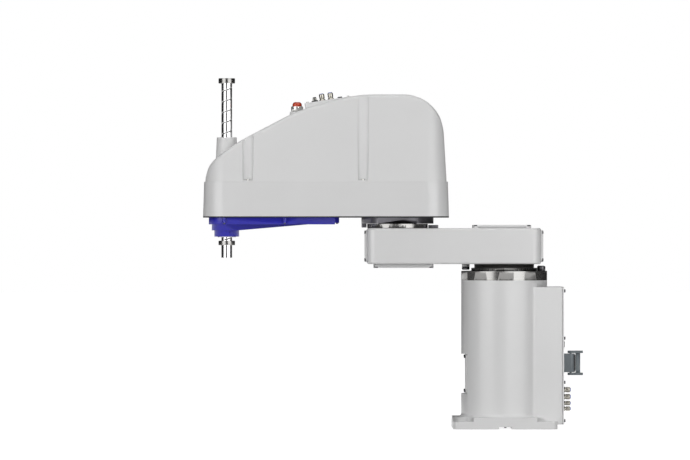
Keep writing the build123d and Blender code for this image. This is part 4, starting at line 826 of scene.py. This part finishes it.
# Screws, one tree for each kind of drive
screwLook = {"sides": 28, "corner": 0.16, "driveShare": 0.5, "driveDepth": 0.55, "crossWidth": 0.24,
             "rimShare": 0.97}  # share of the head radius that still counts as its rim
screwSets = {
    "base_cover_screws": ("sheetScrews", "cross"), "base_ground_screw": ("groundScrew", "cross"),
    "j1_housing_screws": ("firstRingScrews", "hex"), "j1_output_screws": ("firstFlangeScrews", "hex"),
    "arm1_cover_screws": ("innerArmScrews", "hex"), "j2_housing_screws": ("secondRingScrews", "hex"),
    "j2_output_screws": ("secondFlangeScrews", "hex"), "arm2_cover_screws": ("hoodScrews", "cross"),
    "belt_cover_screws": ("beltCoverScrews", "hex"),
}


def screwTree(drive):
    sizes = ("Head Radius", "Head Height", "Shank Radius", "Shank Length")
    g = Growth(drive + "Screws", {**{key: ("Float", 0.004) for key in sizes}, "Finish": ("Material", None)})
    radius, height = g.start["Head Radius"], g.start["Head Height"]
    corner = g.math("MULTIPLY", height, screwLook["corner"])
    barrel = g.add("GeometryNodeMeshCylinder",
                   {"Vertices": screwLook["sides"], "Radius": radius, "Depth": height}).outputs["Mesh"]
    barrel = g.moved(barrel, z=g.math("MULTIPLY", height, 0.5))
    # a cone whose slope takes the chamfer off the head's rim
    tip = g.math("SUBTRACT", radius, corner)
    slope = {"Vertices": screwLook["sides"], "Radius Top": tip, "Radius Bottom": g.math("ADD", tip, height),
             "Depth": height}
    slope = g.add("GeometryNodeMeshCone", slope).outputs["Mesh"]
    head = g.add("GeometryNodeMeshBoolean", {"Mesh 2": [barrel, slope]}, operation="INTERSECT",
                 solver="EXACT").outputs["Mesh"]
    deep = g.math("MULTIPLY", height, 2 * screwLook["driveDepth"])
    reach = g.math("MULTIPLY", radius, screwLook["driveShare"])
    if drive == "hex":
        tools = [g.add("GeometryNodeMeshCylinder",
                       {"Vertices": 6, "Radius": reach, "Depth": deep}).outputs["Mesh"]]
    else:
        wide, narrow = g.math("MULTIPLY", reach, 2.2), g.math("MULTIPLY", radius, screwLook["crossWidth"])
        tools = [g.add("GeometryNodeMeshCube", {"Size": g.vector(a, b, deep)}).outputs["Mesh"] for a,
                 b in ((wide, narrow), (narrow, wide))]
    tools = [g.moved(tool, z=height) for tool in tools]
    head = g.add("GeometryNodeMeshBoolean", {"Mesh 1": head, "Mesh 2": tools}, operation="DIFFERENCE",
                 solver="EXACT").outputs["Mesh"]
    shankSize = {"Vertices": 16, "Radius": g.start["Shank Radius"], "Depth": g.start["Shank Length"]}
    shank = g.add("GeometryNodeMeshCylinder", shankSize).outputs["Mesh"]
    shank = g.moved(shank, z=g.math("MULTIPLY", g.start["Shank Length"], -0.5))
    whole = g.add("GeometryNodeJoinGeometry", {"Geometry": [head, shank]}).outputs[0]
    turn = g.add("FunctionNodeAlignRotationToVector", {"Vector": g.named("axis", "FLOAT_VECTOR")},
                 axis="Z").outputs[0]
    values = {"Points": g.start["Geometry"], "Instance": whole, "Rotation": turn, "Scale": g.named("size")}
    return g.finish(g.add("GeometryNodeInstanceOnPoints", values).outputs[0], g.start["Finish"])


# Seat, outward axis and sizes of every screw in a CAD node, found from its separate bodies
def screwSpots(nodeName):
    bm = bmesh.new()
    bm.from_mesh(nodes[nodeName].data)
    bmesh.ops.remove_doubles(bm, verts=bm.verts, dist=2e-6)
    left, spots = set(bm.verts), []
    while left:
        stack, island = [left.pop()], []
        while stack:
            vert = stack.pop()
            island.append(vert.co[:])
            for edge in vert.link_edges:
                other = edge.other_vert(vert)
                if other in left:
                    left.remove(other)
                    stack.append(other)
        points = np.array(island)
        values, ways = np.linalg.eigh(np.cov((points - points.mean(0)).T))
        odd = 0 if values[2] - values[1] < values[1] - values[0] else 2  # the axis is unlike the others
        axis = ways[:, odd]
        along = (points - points.mean(0)) @ axis
        out = np.linalg.norm(points - points.mean(0) - np.outer(along, axis), axis=1)
        headRadius = out.max()
        wide = along[out > screwLook["rimShare"] * headRadius]
        if wide.mean() < (along.max() + along.min()) / 2:
            axis, along, wide = -axis, -along, -wide
        seat = points.mean(0) + axis * wide.min()
        shank = out[along < wide.min() - 1e-5]
        spots.append({
            "seat": seat, "axis": axis, "radius": headRadius, "height": along.max() - wide.min(),
            "shank": shank.max() if len(shank) else headRadius * 0.5, "length": wide.min() - along.min()})
    bm.free()
    return spots


screwTrees = {drive: screwTree(drive) for drive in ("hex", "cross")}
for nodeName, (pieceName, drive) in screwSets.items():
    spots = screwSpots(nodeName)
    lead = max(spots, key=lambda spot: spot["radius"])
    seed = bpy.data.meshes.new(pieceName + "Seed")
    seed.from_pydata([tuple(spot["seat"]) for spot in spots], [], [])
    seed.attributes.new("axis", "FLOAT_VECTOR",
                        "POINT").data.foreach_set("vector", np.concatenate([s["axis"] for s in spots]))
    seed.attributes.new("size", "FLOAT",
                        "POINT").data.foreach_set("value", [s["radius"] / lead["radius"] for s in spots])
    values = {
        "Head Radius": float(lead["radius"]), "Head Height": float(lead["height"]),
        "Shank Radius": float(lead["shank"]),
        "Shank Length": float(lead["length"]), "Finish": finishes[slotOf[nodeName]]}
    standIn(pieceName, grown(screwTrees[drive], seed, values), nodeName)
    print("  ", pieceName, len(spots), "screws, head radius", round(lead["radius"] * 1000, 2), "height",
          round(lead["height"] * 1000, 2))
print("stage: screws")


# Dark strip along the outer arm's lower rim: painted shade, standing for the shade under that rim
lowerRimShade = {"inset": 0.02, "width": 4.5, "low": 492.6, "high": 495.5}


def planLoop(inset, z):
    cx, r0 = hood["noseX"], hood["noseR"] - inset
    bx, by, r1 = hood["rearX"], hood["rearHalf"], hood["rearR"] - inset
    phi = math.degrees(math.atan2(by, bx - cx) - math.acos((r0 - r1) / math.hypot(bx - cx, by)))
    half = [(cx + r0 * math.cos(math.radians(a)), r0 * math.sin(math.radians(a)))
            for a in np.linspace(0, phi, 40)]
    half += [(bx + r1 * math.cos(math.radians(a)), by + r1 * math.sin(math.radians(a)))
             for a in np.linspace(phi, 180, 36)]
    loop = half + [(x, -y) for x, y in reversed(half[1:])]
    return [(x * mm, y * mm, z * mm) for x, y in loop]


def buildLowerRimShade():
    look = lowerRimShade
    inner = look["inset"] + look["width"]
    loops = [planLoop(look["inset"], look["low"]), planLoop(look["inset"], look["high"]),
             planLoop(inner, look["high"]), planLoop(inner, look["low"])]
    count = len(loops[0])
    faces = []
    for j in range(4):
        a, b = j * count, (j + 1) % 4 * count
        faces += [(a + i, a + (i + 1) % count, b + (i + 1) % count, b + i) for i in range(count)]
    # a dark strip in the rubber finish where the rim's underside is in shade: painted shade
    addPiece("lowerRimShade", meshFrom("lowerRimShade", [v for loop in loops for v in loop], faces), "arm2",
             "belt_rubber")


buildLowerRimShade()


# Power inlet insert, which fills its mouth up to the lever
inlet = {
    "pivot": -155.6, "barrel": 11.2, "half": 6.8, "front": -146.0, "middle": 152.3, "tall": 18.4,
    "contactR": 1.5, "contactPitch": 6.4, "contactSide": 3.4, "contactDepth": 8.0,
}


def buildInsert():
    look = inlet
    turn = math.asin(look["half"] / look["barrel"])
    plan = [(look["front"], look["half"]), (look["front"], -look["half"])]
    plan += [(look["pivot"] - look["barrel"] * math.cos(a), look["barrel"] * math.sin(a))
             for a in np.linspace(-turn, turn, 13)]
    levels = (look["middle"] - look["tall"], look["middle"] + look["tall"])
    mesh = outwards(loft([[Vector((x, y, z)) * mm for x, y in plan] for z in levels]))
    across = Matrix.Rotation(math.radians(90), 4, "Y")
    holes = []
    for i in range(-2, 3):
        for side in (-1, 1):
            hole = cone(look["contactR"], look["contactR"], 0, 40, 0, 0, 20)
            back = look["pivot"] - look["barrel"] + look["contactDepth"] - 40
            hole.transform(Matrix.Translation((back * mm, side * look["contactSide"] * mm,
                                               (look["middle"] + i * look["contactPitch"]) * mm)) @ across)
            holes.append(hole)
    standIn("inletInsert", booleaned(mesh, holes, "DIFFERENCE"), "base_connector_insert")


buildInsert()


# Sockets on the arm's panel: metal shell and dark body
armSocket = {"places": ((30.0, 16.5), (30.0, -16.5)), "length": 10.4, "width": 17.4, "seat": 2.0}


def buildArmSockets():
    look, place = armSocket, panelPlace
    shells, bodies = [], []
    for x, y in look["places"]:
        length, width, seat = look["length"], look["width"], look["seat"]
        outer = [(seat, 0.0), (seat + 8.4, 0.0), (seat + 8.4, 0.9), (seat + 3.0, 0.9)]
        shells.append(outwards(loft([roundedLoop(place, x, y, z, length - 2 * cut, width - 2 * cut,
                                                 2.4 - cut) for z, cut in outer])))
        flange = [(seat - 0.2, 0.3), (seat, 0.0), (seat + 2.2, 0.0), (seat + 2.8, 0.6)]
        bodies.append(outwards(loft([roundedLoop(place, x, y, z, length + 5.6 - 2 * cut,
                                                 width + 11.6 - 2 * cut, 1.6) for z, cut in flange])))
        core = [(seat + 3.0, 1.2), (seat + 10.4, 1.2), (seat + 11.0, 1.8)]
        bodies.append(outwards(loft([roundedLoop(place, x, y, z, length - 2 * cut, width - 2 * cut, 1.4)
                                     for z, cut in core])))
    standIn("armSockets", joined(shells), "user_connectors")
    addPiece("armSocketBodies", joined(bodies), "arm2", "contact_black")


buildArmSockets()


# Warning lamp's ribbed dome
dome = {"x": 485.0, "low": 750.0, "radius": 11.0, "height": 13.4, "crown": 7.0, "ribs": 28,
        "ribDepth": 0.16, "turns": 168}


def buildDome():
    look = dome
    edge, crown = look["height"] - look["crown"], look["crown"]
    profile = [(look["radius"], 0.0), (look["radius"], edge)]
    for k in range(1, 13):
        a = math.radians(90 * k / 13)
        profile.append((look["radius"] - crown + crown * math.cos(a), edge + crown * math.sin(a)))
    loops = []
    for r, z in profile:
        loop = []
        for i in range(look["turns"]):
            a = 2 * math.pi * i / look["turns"]
            rib = look["ribDepth"] * (0.5 - 0.5 * math.cos(a * look["ribs"])) * min(1.0,
                                                                                    max(0.0, (r - 4.5) / 6.0))
            loop.append(Vector(((look["x"] + (r - rib) * math.cos(a)), (r - rib) * math.sin(a),
                                look["low"] + z)) * mm)
        loops.append(loop)
    top = Vector((look["x"], 0, look["low"] + look["height"])) * mm
    loops.append([top.copy() for _ in range(look["turns"])])
    standIn("lampDome", outwards(loft(loops)), "lamp_lens", sharp=50.0)


buildDome()
print("stage: rimShadeStrip, inlet, sockets and lamp")

# Nodes carried over as merged copies, so that curved faces shade cleanly
carried = {
    "base_casting": "columnCasting", "base_front_cover": "frontPlate", "base_rear_panel": "rearPanel",
    "j1_reducer_housing": "firstReducerRing", "j1_fixed_stops": "fixedStops",
    "base_power_connector": "powerInlet",
    "base_user_connectors": "rearSockets", "base_air_fittings": "rearFittings",
    "base_fitting_rings": "rearReleaseRings", "connector_lever": "inletLever",
    "arm1_casting": "innerArmCasting",
    "arm1_top_cover": "innerArmTopCover", "arm1_bottom_cover": "innerArmLowerCover",
    "arm1_end_caps": "innerArmEndCaps", "j1_output_flange": "firstFlange", "j1_moving_stop": "movingStop",
    "j2_reducer_housing": "secondReducerRing", "j2_fixed_stop": "secondFixedStop",
    "arm2_casting": "outerArmTray",
    "j2_output_flange": "secondFlange", "j2_moving_stop": "secondMovingStop", "belt_cover": "blueBeltCover",
    "user_panel": "connectorPanel", "arm_air_fittings": "armFittings", "arm_fitting_rings": "armReleaseRings",
    "lamp_base": "lampBezel", "brake_release_button": "brakeButton", "upper_stop_ring": "upperRing",
    "lower_stop_ring": "lowerRing", "spline_nut": "splineNutSleeve", "ball_nut": "ballNutSleeve",
}
for nodeName, pieceName in carried.items():
    standIn(pieceName, mergedMesh(nodeName), nodeName)
print("stage:", len(carried), "carried pieces")
